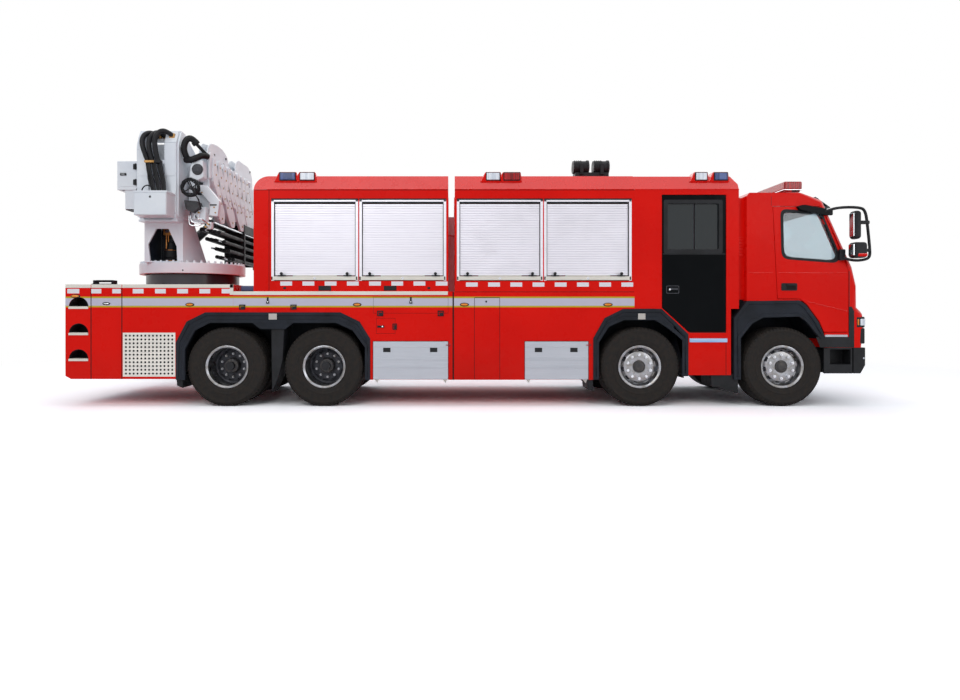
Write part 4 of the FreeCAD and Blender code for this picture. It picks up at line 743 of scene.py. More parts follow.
def front_wheel(node, out):
    """Single wheel: nearly flush disc with ten nuts, ten hand holes and a dark hub in its middle."""
    low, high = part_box(node)
    tyre_low, tyre_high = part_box(node.replace("rim", "tyre"))
    centre = (tyre_low + tyre_high) / 2
    bm = bmesh.new()
    face = [(0.048, 0.020), (0.048, 0.112), (0.086, 0.116), (0.090, 0.130), (0.120, 0.133), (0.200, 0.130),
            (0.212, 0.124), (0.246, 0.086), (0.262, 0.076), (0.263, 0.146), (0.270, 0.160), (0.290, 0.171),
            (0.299, 0.169), (0.300, 0.159), (0.286, 0.156), (0.286, -0.156), (0.300, -0.159), (0.299, -0.170),
            (0.262, -0.171), (0.262, -0.02), (0.240, 0.02), (0.200, 0.095), (0.095, 0.095), (0.095, 0.020),
            (0.048, 0.020)]
    lathe(bm, face, centre, out, 80)
    bmesh.ops.recalc_face_normals(bm, faces=bm.faces)
    hand_holes(bm, centre, 0.222, 0.240, 10, 80, 4, 0.018)
    made = piece(node + "_disc", bm, [WHEEL, WHEEL_DARK], BODY_OF[node], smooth=30)
    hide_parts(node)
    bm = bmesh.new()
    studs(bm, centre, out, NUT_RING, 0.128, 0.152, 0.021, 10, 16)
    studs(bm, centre, out, NUT_RING, 0.150, 0.168, 0.014, 10)
    piece(node + "_nuts", bm, CHROME, BODY_OF[node], bevel=0.003)
    bm = bmesh.new()
    lathe(bm, [(0.0, 0.156), (0.030, 0.155), (0.058, 0.149), (0.064, 0.140), (0.082, 0.136), (0.084, 0.116),
               (0.0, 0.116)], centre, out, 40)
    studs(bm, centre, out, 0.071, 0.134, 0.141, 0.006, 8)
    piece(node + "_hub", bm, HUB, BODY_OF[node])


def rear_wheel(node, out):
    """Twin wheels: a deep dish with oval hand holes, ten nuts and a dark planetary hub."""
    tyre_low, tyre_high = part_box(node.replace("rim", "tyre"))
    centre = (tyre_low + tyre_high) / 2
    bm = bmesh.new()
    lip, seat = 0.131, 0.119
    twin = TWIN_HALF
    section = [(0.062, 0.004), (0.100, 0.012), (0.200, 0.012), (0.236, -0.004), (0.254, 0.006),
               (0.262, 0.030), (0.262, twin + lip - 0.035), (0.270, twin + lip - 0.014),
               (0.290, twin + lip), (0.299, twin + lip - 0.002), (0.300, twin + seat),
               (0.286, twin + seat), (0.286, twin - seat), (0.300, twin - seat), (0.300, twin - lip),
               (0.278, twin - lip), (0.278, lip - twin), (0.300, lip - twin), (0.300, seat - twin),
               (0.286, seat - twin), (0.286, -twin - seat), (0.300, -twin - seat), (0.299, -twin - lip),
               (0.262, -twin - lip), (0.262, -0.035), (0.125, -0.035), (0.125, -0.18), (0.062, -0.18),
               (0.062, 0.004)]
    lathe(bm, section, centre, out, 80)
    bmesh.ops.recalc_face_normals(bm, faces=bm.faces)
    hand_holes(bm, centre, 0.205, 0.228, 10, 80, 4, 0.022)
    # The dish's middle also takes the darker grey.
    for face in bm.faces:
        spot = face.calc_center_median() - centre
        if math.hypot(spot.x, spot.z) < 0.245 and abs(spot.y) < 0.03:
            face.material_index = 1
    made = piece(node + "_dish", bm, [WHEEL, WHEEL_DARK], BODY_OF[node], smooth=30)
    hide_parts(node)
    bm = bmesh.new()
    studs(bm, centre, out, NUT_RING, 0.008, 0.034, 0.018, 10, 16)
    studs(bm, centre, out, NUT_RING, 0.030, 0.052, 0.012, 10)
    piece(node + "_nuts", bm, WHEEL, BODY_OF[node], bevel=0.003)
    bm = bmesh.new()
    lathe(bm, [(0.0, 0.128), (0.034, 0.128), (0.040, 0.118), (0.060, 0.116), (0.094, 0.110), (0.104, 0.098),
               (0.110, 0.014), (0.0, 0.014)], centre, out, 48)
    studs(bm, centre, out, 0.078, 0.106, 0.120, 0.010, 10)
    piece(node + "_hub", bm, HUB, BODY_OF[node], bevel=0.002)


for side, out in SIDES:
    for axle in "12":
        tyre("tyre_%s_%s" % (axle, side), 0.37, (0,))
        front_wheel("rim_%s_%s" % (axle, side), out)
    for axle in "34":
        tyre("tyre_%s_%s" % (axle, side), 0.29, (-TWIN_HALF, TWIN_HALF))
        rear_wheel("rim_%s_%s" % (axle, side), out)


# ---------------------------------------------------------------- body sides

def on_side(bm, out, x, z, proud=0.003, depth=0.004):
    """Thin panel on a side face of the body, between two X and two Z limits."""
    block(bm, at(x[0], out * (SIDE - depth), z[0]), at(x[1], out * (SIDE + proud), z[1]))


def run_of(start, pitch, width, count):
    """Spans of equal width that follow each other at a pitch."""
    return [(start + pitch * turn, start + pitch * turn + width) for turn in range(count)]


REFLECTORS = (
    ((-5.593, -5.425), (-5.257, -5.117), (-4.963, -4.845), *run_of(-4.676, 0.311, 0.150, 5), (1.585, 1.648)),
    (*run_of(-2.611, 0.311, 0.165, 8), (1.694, 1.752)),
    (*run_of(-0.011, 0.311, 0.165, 8), (1.679, 1.738)))
MARKERS = ((-5.551, -5.411, 1.547), (-3.941, -3.815, 1.428), (-1.595, -1.473, 1.428), (-0.098, 0.032, 1.428),
           (1.911, 2.044, 1.428))


def body_trim(name, out):
    """Reflective squares, cream edge strips and amber markers of one side."""
    bm = bmesh.new()
    for *spans, height in REFLECTORS:
        for span in spans:
            on_side(bm, out, span, height, 0.0015)
    piece("reflective_squares_" + name, bm, FILM, "chassis")
    bm = bmesh.new()
    on_side(bm, out, (-5.621, -5.265), (1.662, 1.712), 0.004)
    on_side(bm, out, (-5.257, -4.833), (1.662, 1.712), 0.004)
    on_side(bm, out, (-4.825, -3.268), (1.662, 1.712), 0.004)
    on_side(bm, out, (-3.318, -3.268), (1.565, 1.712), 0.004)
    on_side(bm, out, (-3.268, -0.265), (1.562, 1.614), 0.004)
    piece("cream_edge_strips_" + name, bm, CREAM, "chassis", bevel=0.0035)
    bm = bmesh.new()
    for start, end, height in MARKERS:
        middle = at((start + end) / 2, out * SIDE, height)
        dome(bm, middle, ((end - start) / 2, 0.014, 0.026))
    piece("marker_bezels_" + name, bm, BLACK_PLASTIC_AND_SHADE, "chassis")
    bm = bmesh.new()
    for start, end, height in MARKERS:
        middle = at((start + end) / 2, out * (SIDE + 0.004), height)
        dome(bm, middle, ((end - start) / 2 - 0.014, 0.018, 0.017))
    piece("marker_lamps_" + name, bm, AMBER_LENS, "chassis")


# How far a dark panel gap stands proud of the skin, so that it shows.
GAP_PROUD = 0.0008


def gap_lines(name, out):
    """Dark gaps round hatches, doors and columns of the lower body."""
    bm = bmesh.new()
    for x in (-5.261, -4.829):
        on_side(bm, out, (x - 0.006, x + 0.006), (0.387, 1.66), GAP_PROUD)
    for x in (0.109, 0.462):
        on_side(bm, out, (x - 0.003, x + 0.003), (0.376, 1.526), GAP_PROUD)
    on_side(bm, out, (0.109, 0.462), (1.522, 1.530), GAP_PROUD)
    on_side(bm, out, (-0.199, -0.179), (0.376, 1.606), GAP_PROUD)
    for x, z in (((-1.309, -0.259), (1.306, 1.535)), ((-1.267, -1.001), (1.022, 1.238))):
        for low, high in ((z[0], z[0] + 0.003), (z[1] - 0.003, z[1])):
            on_side(bm, out, x, (low, high), GAP_PROUD)
        for low, high in ((x[0], x[0] + 0.003), (x[1] - 0.003, x[1])):
            on_side(bm, out, (low, high), z, GAP_PROUD)
    on_side(bm, out, (-2.987, -0.262), (3.030, 3.037), GAP_PROUD)
    on_side(bm, out, (-2.772, -2.765), (1.62, 3.03), GAP_PROUD)
    on_side(bm, out, (-0.166, 2.345), (3.030, 3.037), GAP_PROUD)
    on_side(bm, out, (-0.16, 2.345), (1.603, 1.609), GAP_PROUD)
    piece("panel_gaps_" + name, bm, SEAM_AND_SHADE, "chassis")


def paddle(bm, x, z, out, wide, high):
    """Recessed paddle latch: a frame with a tilted grip in it."""
    edge = 0.35 * min(wide, high)
    for low, top in ((z - high / 2, z - high / 2 + edge / 2), (z + high / 2 - edge / 2, z + high / 2)):
        on_side(bm, out, (x - wide / 2, x + wide / 2), (low, top), 0.010)
    for low, top in ((x - wide / 2, x - wide / 2 + edge / 2), (x + wide / 2 - edge / 2, x + wide / 2)):
        on_side(bm, out, (low, top), (z - high / 2, z + high / 2), 0.010)
    on_side(bm, out, (x - wide / 2 + edge, x + wide / 2 - edge / 2),
            (z - high / 2 + edge / 2, z + high / 2 - edge), 0.013)


LATCHES = ((-1.211, 1.305, 0.084, 0.077), (-0.364, 1.305, 0.084, 0.077), (-1.008, 1.120, 0.060, 0.084),
           (-3.143, 1.393, 0.084, 0.070), (-2.425, 1.393, 0.084, 0.070))


def body_latches(name, out):
    """Paddle latches, lock barrels and small covers of one side."""
    bm = bmesh.new()
    for x, z, wide, high in LATCHES:
        paddle(bm, x, z, out, wide, high)
    for x, z in ((-2.786, 1.487), (-0.783, 1.487)):
        on_side(bm, out, (x - 0.012, x + 0.012), (z - 0.045, z + 0.045), 0.008)
        on_side(bm, out, (x - 0.020, x + 0.020), (z - 0.045, z - 0.012), 0.010)
    on_side(bm, out, (-1.253, -1.155), (1.105, 1.134), 0.008)
    dome(bm, at(-5.047, out * SIDE, 1.442), (0.056, 0.010, 0.021))
    dome(bm, at(0.273, out * SIDE, 1.470), (0.014, 0.008, 0.014))
    for x in (-2.55, -0.53):
        dome(bm, at(x, out * SIDE, 1.66), (0.024, 0.008, 0.016))
    for x in (-1.988, -1.072):
        on_side(bm, out, (x - 0.090, x + 0.090), (1.622, 1.692), 0.001)
    piece("body_latches_" + name, bm, BLACK_PLASTIC_AND_SHADE, "chassis", bevel=0.002)
    bm = bmesh.new()
    dome(bm, at(-5.047, out * (SIDE + 0.004), 1.442), (0.040, 0.010, 0.010))
    dome(bm, at(-1.180, out * (SIDE + 0.004), 1.120), (0.012, 0.007, 0.012))
    for x, z in ((-2.786, 1.466), (-0.783, 1.466)):
        dome(bm, at(x, out * (SIDE + 0.008), z), (0.010, 0.006, 0.010))
    piece("lock_barrels_" + name, bm, CHROME, "chassis")


STEP_LEVELS = (1.396, 1.028, 0.665)


def step_treads(name, out):
    """White grip treads in the three rear step recesses, and the blank plates on the arches."""
    bm = bmesh.new()
    for level in STEP_LEVELS:
        block(bm, at(-5.573, out * (SIDE - 0.02), level - 0.028),
              at(-5.299, out * (SIDE + 0.012), level + 0.004))
        for turn in range(9):
            x = -5.560 + turn * 0.029
            block(bm, at(x, out * (SIDE - 0.10), level + 0.004),
                  at(x + 0.014, out * (SIDE + 0.010), level + 0.009))
    piece("step_treads_" + name, bm, CREAM, "chassis", bevel=0.002)
    bm = bmesh.new()
    for low, high, z in ((-2.771, -2.655, 1.260), (2.395, 2.499, 1.262)):
        block(bm, at(low, out * 1.258, z - 0.042), at(high, out * 1.267, z + 0.042))
    piece("blank_arch_plates_" + name, bm, PLATE, "chassis", bevel=0.004)


def body_liners(name, out):
    """Black liners that paint the shade inside the step recesses and behind the cooling opening, and the drop
    plate between the twin wheels.
    """
    bm = bmesh.new()
    # The black sheets in the step recesses and behind the cooling opening are painted shade of those hollows.
    for level in STEP_LEVELS:
        curve = [(math.cos(k * math.pi / 16), math.sin(k * math.pi / 16)) for k in range(17)]
        ring = [(-5.436 + 0.1362 * x, level + 0.006 + 0.130 * z) for x, z in curve]
        inner = [(-5.436 + 0.1325 * x, level + 0.006 + 0.126 * z) for x, z in reversed(curve)]
        plate(bm, [at(x, out * (SIDE - 0.002), z) for x, z in ring + inner], (0, -out * 0.238, 0))
        plate(bm, [at(x, out * (SIDE - 0.236), z) for x, z in ring], (0, -out * 0.006, 0))
    on_side(bm, out, (-4.812, -4.086), (0.424, 1.030), -0.010, 0.014)
    piece("shade_liners_" + name, bm, BLACK_PLASTIC_AND_SHADE, "chassis")
    bm = bmesh.new()
    drop = ((-3.003, 1.190), (-2.429, 1.190), (-2.429, 1.172), (-2.540, 1.084), (-2.893, 1.084),
            (-3.003, 1.172))
    side_plate(bm, out, drop, 0.006, 0.03)
    piece("arch_drop_plate_" + name, bm, ARCH, "chassis", bevel=0.004)


def flap_fittings(name, out):
    """Grip recesses, pressed ribs, top latch and stays of the drop flaps of one side."""
    for row, start, end in (("rear", -1.309, -0.263), ("front", 0.815, 1.701)):
        body = "locker_flap_%s_%s" % (row, name)
        bm = bmesh.new()
        for x in (start + 0.19, end - 0.20):
            on_side(bm, out, (x - 0.052, x + 0.052), (0.762, 0.824), 0.002)
        piece(body + "_grips", bm, BLACK_PLASTIC_AND_SHADE, body, bevel=0.002)
        bm = bmesh.new()
        for z, high in ((0.834, 0.010), (0.674, 0.016), (0.646, 0.012), (0.560, 0.018), (0.536, 0.010)):
            on_side(bm, out, (start + 0.004, end - 0.004), (z - high / 2, z + high / 2), 0.005)
        piece(body + "_ribs", bm, SHEET, body, bevel=0.003)
        bm = bmesh.new()
        for low, high in ((start - 0.006, start - 0.001), (end + 0.001, end + 0.006)):
            on_side(bm, out, (low, high), (0.378, 0.915), GAP_PROUD)
        piece(body + "_side_gaps", bm, SEAM_AND_SHADE, "chassis")
        bm = bmesh.new()
        on_side(bm, out, (end - 0.030, end + 0.040), (0.855, 0.868), 0.014)
        on_side(bm, out, (end + 0.012, end + 0.030), (0.840, 0.884), 0.010)
        # The red lens finish makes this latch glow faintly: painted light.
        piece(body + "_latch", bm, RED_LENS, "chassis", bevel=0.003)
        bm = bmesh.new()
        for x in (start + 0.045, end - 0.045):
            plate(bm, [at(x - 0.03, out * (SIDE - 0.02), 0.379), at(x + 0.03, out * (SIDE - 0.02), 0.379),
                       at(x + 0.012, out * (SIDE - 0.02), 0.325)], (0, out * 0.012, 0))
        piece(body + "_feet", bm, PLATE, "chassis")


for name, out in SIDES:
    body_trim(name, out)
    gap_lines(name, out)
    body_latches(name, out)
    step_treads(name, out)
    body_liners(name, out)
    flap_fittings(name, out)


# ---------------------------------------------------------------- roller shutters

SHUTTERS = ((-2.737, -1.520), (-1.505, -0.287), (-0.139, 1.068), (1.082, 2.310))
SHUTTER_LOW, SHUTTER_HIGH, SLAT = 1.762, 2.913, 0.0335
CURTAIN_LOW, CURTAIN_HIGH = SHUTTER_LOW + 0.075, SHUTTER_HIGH - 0.055


def slat_curtain(bm, start, end, out):
    """Interlocking slats: each stands proud in its middle and dips at its joint."""
    face, dip = out * (SIDE - 0.022), out * (SIDE - 0.027)
    count = int((CURTAIN_HIGH - CURTAIN_LOW) / SLAT)
    line = []
    for turn in range(count):
        foot = CURTAIN_LOW + turn * SLAT
        line += [(dip, foot), (face, foot + 0.004), (face, foot + SLAT - 0.004)]
    line.append((dip, CURTAIN_LOW + count * SLAT))
    verts = [bm.verts.new(at(start, y, z)) for y, z in line]
    edges = [bm.edges.new(pair) for pair in zip(verts, verts[1:])]
    grown = bmesh.ops.extrude_edge_only(bm, edges=edges)["geom"]
    bmesh.ops.translate(bm, vec=(end - start, 0, 0),
                        verts=[v for v in grown if isinstance(v, bmesh.types.BMVert)])


def shutters():
    """Slats, side guides, header and bottom bar of every shutter, standing for the CAD curtains."""
    bm, guides, dark, bars = bmesh.new(), bmesh.new(), bmesh.new(), bmesh.new()
    for _, out in SIDES:
        for start, end in SHUTTERS:
            slat_curtain(bm, start + 0.045, end - 0.045, out)
            y = (out * (SIDE - 0.043), out * (SIDE + 0.004))
            for low, high in ((start, start + 0.038), (end - 0.038, end)):
                block(guides, at(low, y[0], SHUTTER_LOW), at(high, y[1], SHUTTER_HIGH - 0.018))
            block(guides, at(start, y[0], SHUTTER_HIGH - 0.045), at(end, y[1], SHUTTER_HIGH - 0.018))
            for low, high in ((start + 0.038, start + 0.047), (end - 0.047, end - 0.038)):
                block(dark, at(low, y[0], SHUTTER_LOW), at(high, out * (SIDE - 0.012), SHUTTER_HIGH - 0.03))
            block(dark, at(start, y[0], SHUTTER_HIGH - 0.016), at(end, y[1] + out * 0.002, SHUTTER_HIGH))
            block(dark, at(start + 0.04, y[0], SHUTTER_HIGH - 0.060),
                  at(end - 0.04, out * (SIDE - 0.010), SHUTTER_HIGH - 0.046))
            block(bars, at(start + 0.004, out * (SIDE - 0.040), SHUTTER_LOW + 0.008),
                  at(end - 0.004, out * (SIDE + 0.010), SHUTTER_LOW + 0.062))
            block(bars, at(start + 0.30, out * (SIDE - 0.030), SHUTTER_LOW + 0.062),
                  at(end - 0.30, out * (SIDE + 0.012), SHUTTER_LOW + 0.074))
    made = piece("shutter_slats", bm, SLATS, "chassis", smooth=50)
    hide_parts("roller_shutters")
    piece("shutter_guides", guides, SLATS, "chassis", bevel=0.004)
    piece("shutter_seals", dark, BLACK_PLASTIC_AND_SHADE, "chassis")
    piece("shutter_bars", bars, CREAM, "chassis", bevel=0.006)


def shutter_latches():
    """Turn latches near both ends of each bottom bar, the end caps and the lock in its middle."""
    bm, locks = bmesh.new(), bmesh.new()
    for _, out in SIDES:
        for start, end in SHUTTERS:
            for x in (start + 0.150, end - 0.150):
                foot = at(x, out * (SIDE + 0.010), SHUTTER_LOW + 0.076)
                drum(bm, foot, foot + Vector((0, out * 0.022, 0)), 0.016)
                drum(bm, foot + Vector((0, out * 0.016, 0.022)), foot + Vector((0, out * 0.034, 0.022)),
                     0.021)
                block(bm, foot + Vector((-0.055, 0, -0.012)), foot + Vector((0.060, out * 0.012, 0.002)))
                block(bm, foot + Vector((-0.010, out * 0.004, -0.004)),
                      foot + Vector((0.010, out * 0.030, 0.026)))
            for low, high in ((start + 0.004, start + 0.020), (end - 0.030, end - 0.014)):
                block(bm, at(low, out * (SIDE + 0.008), SHUTTER_LOW + 0.012),
                      at(high, out * (SIDE + 0.014), SHUTTER_LOW + 0.058))
            middle = at((start + end) / 2, out * (SIDE + 0.010), SHUTTER_LOW + 0.034)
            drum(locks, middle, middle + Vector((0, out * 0.006, 0)), 0.020, sides=24)
    piece("shutter_latches", bm, BLACK_PLASTIC_AND_SHADE, "chassis", bevel=0.002)
    piece("shutter_locks", locks, CHROME, "chassis", bevel=0.002)


shutters()
shutter_latches()


# ---------------------------------------------------------------- cab

WINDOW = ((4.405, 2.755), (4.965, 2.722), (5.222, 2.110), (5.165, 2.022), (4.470, 2.075), (4.418, 2.140))


def cab_door_fittings(name, out):
    """Pane, seal, rain deflector, handle, pressed lines and tread edge of one cab door."""
    body = "cab_door_" + name
    bm = bmesh.new()
    side_plate(bm, out, eased(WINDOW, 0.05), -0.030, 0.036)
    piece(body + "_pane", bm, CAB_GLASS, body)
    bm = bmesh.new()
    window_seal(bm, out, eased(swollen(WINDOW, 0.014), 0.09), 0.040, 0.004, 0.038)
    piece(body + "_seal", bm, BLACK_PLASTIC_AND_SHADE, body, bevel=0.003)
    bm = bmesh.new()
    brow = ((4.600, 2.800), (4.700, 2.822), (5.010, 2.766), (5.070, 2.706), (5.030, 2.664), (4.640, 2.748))
    side_plate(bm, out, eased(brow, 0.04), 0.052)
    piece(body + "_rain_deflector", bm, DARK_GLOSS, body, bevel=0.014, segments=3)
    bm = bmesh.new()
    side_plate(bm, out, eased(((4.403, 1.729), (4.627, 1.729), (4.627, 1.624), (4.403, 1.624)), 0.02), 0.006)
    slab(bm, (4.475, 4.612), (out * SIDE, out * (SIDE + 0.018)), (1.694, 1.716))
    drum(bm, at(4.436, out * SIDE, 1.652), at(4.436, out * (SIDE + 0.010), 1.652), 0.010)
    piece(body + "_handle", bm, BLACK_PLASTIC_AND_SHADE, body, bevel=0.004)
    bm = bmesh.new()
    # The dark block under the grip bar paints the shade in the handle's cup.
    slab(bm, (4.478, 4.608), (out * SIDE, out * (SIDE + 0.008)), (1.640, 1.690))
    piece(body + "_handle_cup_shade", bm, SEAM_AND_SHADE, body)
    bm = bmesh.new()
    on_side(bm, out, (4.370, 5.330), (1.868, 1.878), 0.004)
    side_plate(bm, out, ((4.770, 1.474), (5.330, 1.340), (5.330, 1.328), (4.770, 1.462)), 0.004, 0.004)
    piece(body + "_pressed_lines", bm, RED, body, bevel=0.004)
    bm = bmesh.new()
    slab(bm, (5.015, 5.330), (out * (SIDE - 0.05), out * (SIDE + 0.008)), (0.976, 1.004))
    for turn in range(12):
        x = 5.022 + turn * 0.026
        slab(bm, (x, x + 0.012), (out * (SIDE - 0.04), out * (SIDE + 0.011)), (0.982, 1.008))
    piece("tread_edge_" + name, bm, SHEET, "chassis", bevel=0.002)


def cab_side_trim():
    """Pressed lines, seams, front corner panels, and the air vents and mounts behind the cab."""
    bm = bmesh.new()
    both(bm, (3.945, 4.292), (SIDE - 0.004, SIDE + 0.003), (1.868, 1.878))
    piece("cab_pressed_lines", bm, RED, "chassis", bevel=0.004)
    bm = bmesh.new()
    for out in (-1, 1):
        for x, z in (((4.262, 4.267), (2.812, 2.94)), ((5.352, 5.360), (1.395, 1.90))):
            on_side(bm, out, x, z, GAP_PROUD)
        side_plate(bm, out, ((4.950, 0.828), (5.425, 0.828), (5.425, 1.34), (5.390, 1.40), (5.350, 1.40),
                             (5.350, 0.976), (4.890, 0.976)), 0.0025, 0.004)
    piece("cab_corner_gaps", bm, BLACK_PLASTIC_AND_SHADE, "chassis")
    bm = bmesh.new()
    for turn in range(6):
        z = 2.115 + turn * 0.042
        both(bm, (3.822, 3.905), (1.150, 1.176), (z, z + 0.020))
    both(bm, (3.816, 3.918), (1.150, 1.166), (2.09, 2.385))
    piece("cab_rear_vents", bm, RED, "chassis", bevel=0.006)
    bm = bmesh.new()
    both(bm, (3.815, 3.918), (0.9, 1.13), (1.385, 1.52))
    piece("cab_rear_mounts", bm, BLACK_PLASTIC_AND_SHADE, "chassis", bevel=0.01)


def head_lamps():
    """Head lamps that wrap round the front corners, with amber ends, and the corner lamps below."""
    bm, lenses, amber = bmesh.new(), bmesh.new(), bmesh.new()
    for _, out in SIDES:
        slab(bm, (5.455, 5.577), (out * 0.850, out * 1.254), (1.105, 1.258))
        slab(bm, (5.500, 5.580), (out * 1.02, out * 1.250), (0.88, 1.100))
        slab(lenses, (5.505, 5.584), (out * 0.872, out * 1.257), (1.130, 1.234))
        slab(lenses, (5.520, 5.5845), (out * 1.040, out * 1.200), (0.905, 0.990))
        slab(lenses, (5.546, 5.5845), (out * 1.170, out * 1.246), (0.655, 0.700))
        slab(amber, (5.466, 5.500), (out * 1.140, out * 1.257), (1.134, 1.230))
    piece("head_lamp_housings", bm, BLACK_PLASTIC_AND_SHADE, "chassis", bevel=0.016, segments=3)
    piece("head_lamp_lenses", lenses, WHITE_LENS, "chassis", bevel=0.014, segments=3)
    piece("turn_lamp_lenses", amber, AMBER_LENS, "chassis", bevel=0.014, segments=3)


def cab_front():
    """Grille, blank plate, wipers, windscreen border, sun visor and bumper air slots."""
    bm = bmesh.new()
    nose_plate(bm, (-0.90, 0.90), (1.415, 1.925), 0.004)
    nose_plate(bm, (-0.95, 0.95), (0.90, 1.085), 0.006)
    slab(bm, (5.560, 5.582), (-0.62, 0.62), (0.600, 0.790))
    piece("front_grille_panel", bm, BLACK_PLASTIC_AND_SHADE, "chassis", bevel=0.008)
    bm = bmesh.new()
    for turn in range(5):
        z = 1.450 + turn * 0.092
        nose_plate(bm, (-0.84, 0.84), (z, z + 0.052), 0.012)
    for turn in range(3):
        z = 0.925 + turn * 0.052
        nose_plate(bm, (-0.90, 0.90), (z, z + 0.024), 0.011)
    piece("front_grille_bars", bm, DARK_GLOSS, "chassis", bevel=0.008)
    bm = bmesh.new()
    slab(bm, (5.575, 5.5848), (-0.26, 0.26), (0.632, 0.752))
    piece("front_blank_plate", bm, PLATE, "chassis", bevel=0.006)
    bm = bmesh.new()
    lean = Vector((4.998 - 5.365, 0, 2.84 - 2.02)).normalized()
    for y in ((-1.125, -1.05), (1.05, 1.125)):
        foot = [at(5.368, y[0], 2.02), at(5.368, y[1], 2.02)]
        plate(bm, foot + [spot + lean * 0.898 for spot in reversed(foot)], (0.006, 0, 0.003))
    for start, width in ((-0.006, 0.09), (0.80, 0.10)):
        foot = [at(5.368, -1.12, 2.02) + lean * start, at(5.368, 1.12, 2.02) + lean * start]
        plate(bm, foot + [spot + lean * width for spot in reversed(foot)], (0.006, 0, 0.003))
    piece("windscreen_border", bm, BLACK_PLASTIC_AND_SHADE, "chassis")
    bm = bmesh.new()
    for y in (-0.95, -0.25, 0.45):
        foot = at(5.395, y, 2.000)
        drum(bm, foot, foot + Vector((0.022, 0, 0.012)), 0.022)
        drum(bm, foot + Vector((0.020, 0, 0.010)), foot + Vector((-0.010, 0.40, 0.075)), 0.010, 0.006)
        drum(bm, foot + Vector((-0.008, 0.10, 0.060)), foot + Vector((-0.014, 0.66, 0.078)), 0.008, sides=8)
    piece("wiper_arms", bm, BLACK_PLASTIC_AND_SHADE, "chassis")
    bm = bmesh.new()
    plate(bm, [at(4.950, -1.12, 2.952), at(5.165, -1.12, 2.800), at(5.165, 1.12, 2.800),
               at(4.950, 1.12, 2.952)], (0.008, 0, 0.012))
    piece("sun_visor", bm, DARK_GLASS, "chassis", bevel=0.004)
    bm = bmesh.new()
    for y in (-1.10, -0.4, 0.4, 1.10):
        slab(bm, (4.930, 5.000), (y - 0.02, y + 0.02), (2.870, 2.945))
        drum(bm, at(4.98, y, 2.93), at(5.12, y, 2.83), 0.010)
    piece("sun_visor_arms", bm, BLACK_PLASTIC_AND_SHADE, "chassis", bevel=0.005)


def mirrors(name, out):
    """Tube frame with two rounded mirror housings, a red strip along the lower one's bottom, and glass that
    faces the rear.
    """
    body = "cab_door_" + name
    route = ((4.970, 1.262, 2.715), (5.060, 1.330, 2.755), (5.180, 1.400, 2.768), (5.380, 1.425, 2.762),
             (5.470, 1.425, 2.725), (5.500, 1.425, 2.500), (5.530, 1.425, 2.200), (5.532, 1.425, 2.085),
             (5.480, 1.420, 2.045), (5.360, 1.390, 2.030), (5.270, 1.300, 2.065), (5.235, 1.255, 2.100))
    made = pipe(body + "_mirror_frame", [[at(x, out * y, z) for x, y, z in route]], 0.019,
                BLACK_PLASTIC_AND_SHADE, body)
    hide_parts("mirror_" + name)
    bm = bmesh.new()
    slab(bm, (5.285, 5.385), (out * 1.345, out * 1.495), (2.325, 2.712))
    slab(bm, (5.282, 5.468), (out * 1.330, out * 1.495), (2.066, 2.282))
    piece(body + "_mirror_housings", bm, BLACK_PLASTIC_AND_SHADE, body, bevel=0.042, segments=5)
    bm = bmesh.new()
    slab(bm, (5.375, 5.520), (out * 1.400, out * 1.450), (2.530, 2.580))
    slab(bm, (5.440, 5.540), (out * 1.400, out * 1.450), (2.150, 2.195))
    slab(bm, (4.935, 5.110), (out * 1.246, out * 1.290), (2.675, 2.750))
    slab(bm, (5.200, 5.280), (out * 1.246, out * 1.300), (2.045, 2.200))
    piece(body + "_mirror_clamps", bm, BLACK_PLASTIC_AND_SHADE, body, bevel=0.014, segments=3)
    caps, glass = bmesh.new(), bmesh.new()
    # A red strip runs along the bottom of the lower housing.
    slab(caps, (5.320, 5.462), (out * 1.380, out * 1.4975), (2.080, 2.135))
    slab(glass, (5.278, 5.300), (out * 1.372, out * 1.470), (2.360, 2.680))
    slab(glass, (5.275, 5.300), (out * 1.360, out * 1.475), (2.100, 2.255))
    piece(body + "_mirror_red_strips", caps, RED, body, bevel=0.020, segments=3)
    piece(body + "_mirror_glass", glass, MIRROR, body, bevel=0.006)


def light_bar():
    """Red light bar across the cab roof with a dark middle, on a bright base with two feet."""
    lenses, middle, base = bmesh.new(), bmesh.new(), bmesh.new()
    for _, out in SIDES:
        slab(lenses, (4.575, 4.835), (out * 0.16, out * 1.006), (3.088, 3.205))
        slab(lenses, (4.600, 4.812), (out * 0.45, out * 1.000), (3.048, 3.090))
        slab(base, (4.640, 4.800), (out * 0.80, out * 0.86), (2.985, 3.075))
    slab(middle, (4.585, 4.825), (-0.15, 0.15), (3.070, 3.200))
    slab(base, (4.570, 4.840), (-1.004, 1.004), (3.078, 3.094))
    piece("light_bar_lenses", lenses, RED_LENS, "chassis", bevel=0.034, segments=4)
    piece("light_bar_speaker", middle, BLACK_PLASTIC_AND_SHADE, "chassis", bevel=0.02, segments=3)
    piece("light_bar_base", base, CHROME, "chassis", bevel=0.006)


for name, out in SIDES:
    cab_door_fittings(name, out)
    mirrors(name, out)
cab_side_trim()
head_lamps()
cab_front()
light_bar()


# ---------------------------------------------------------------- crew cabin

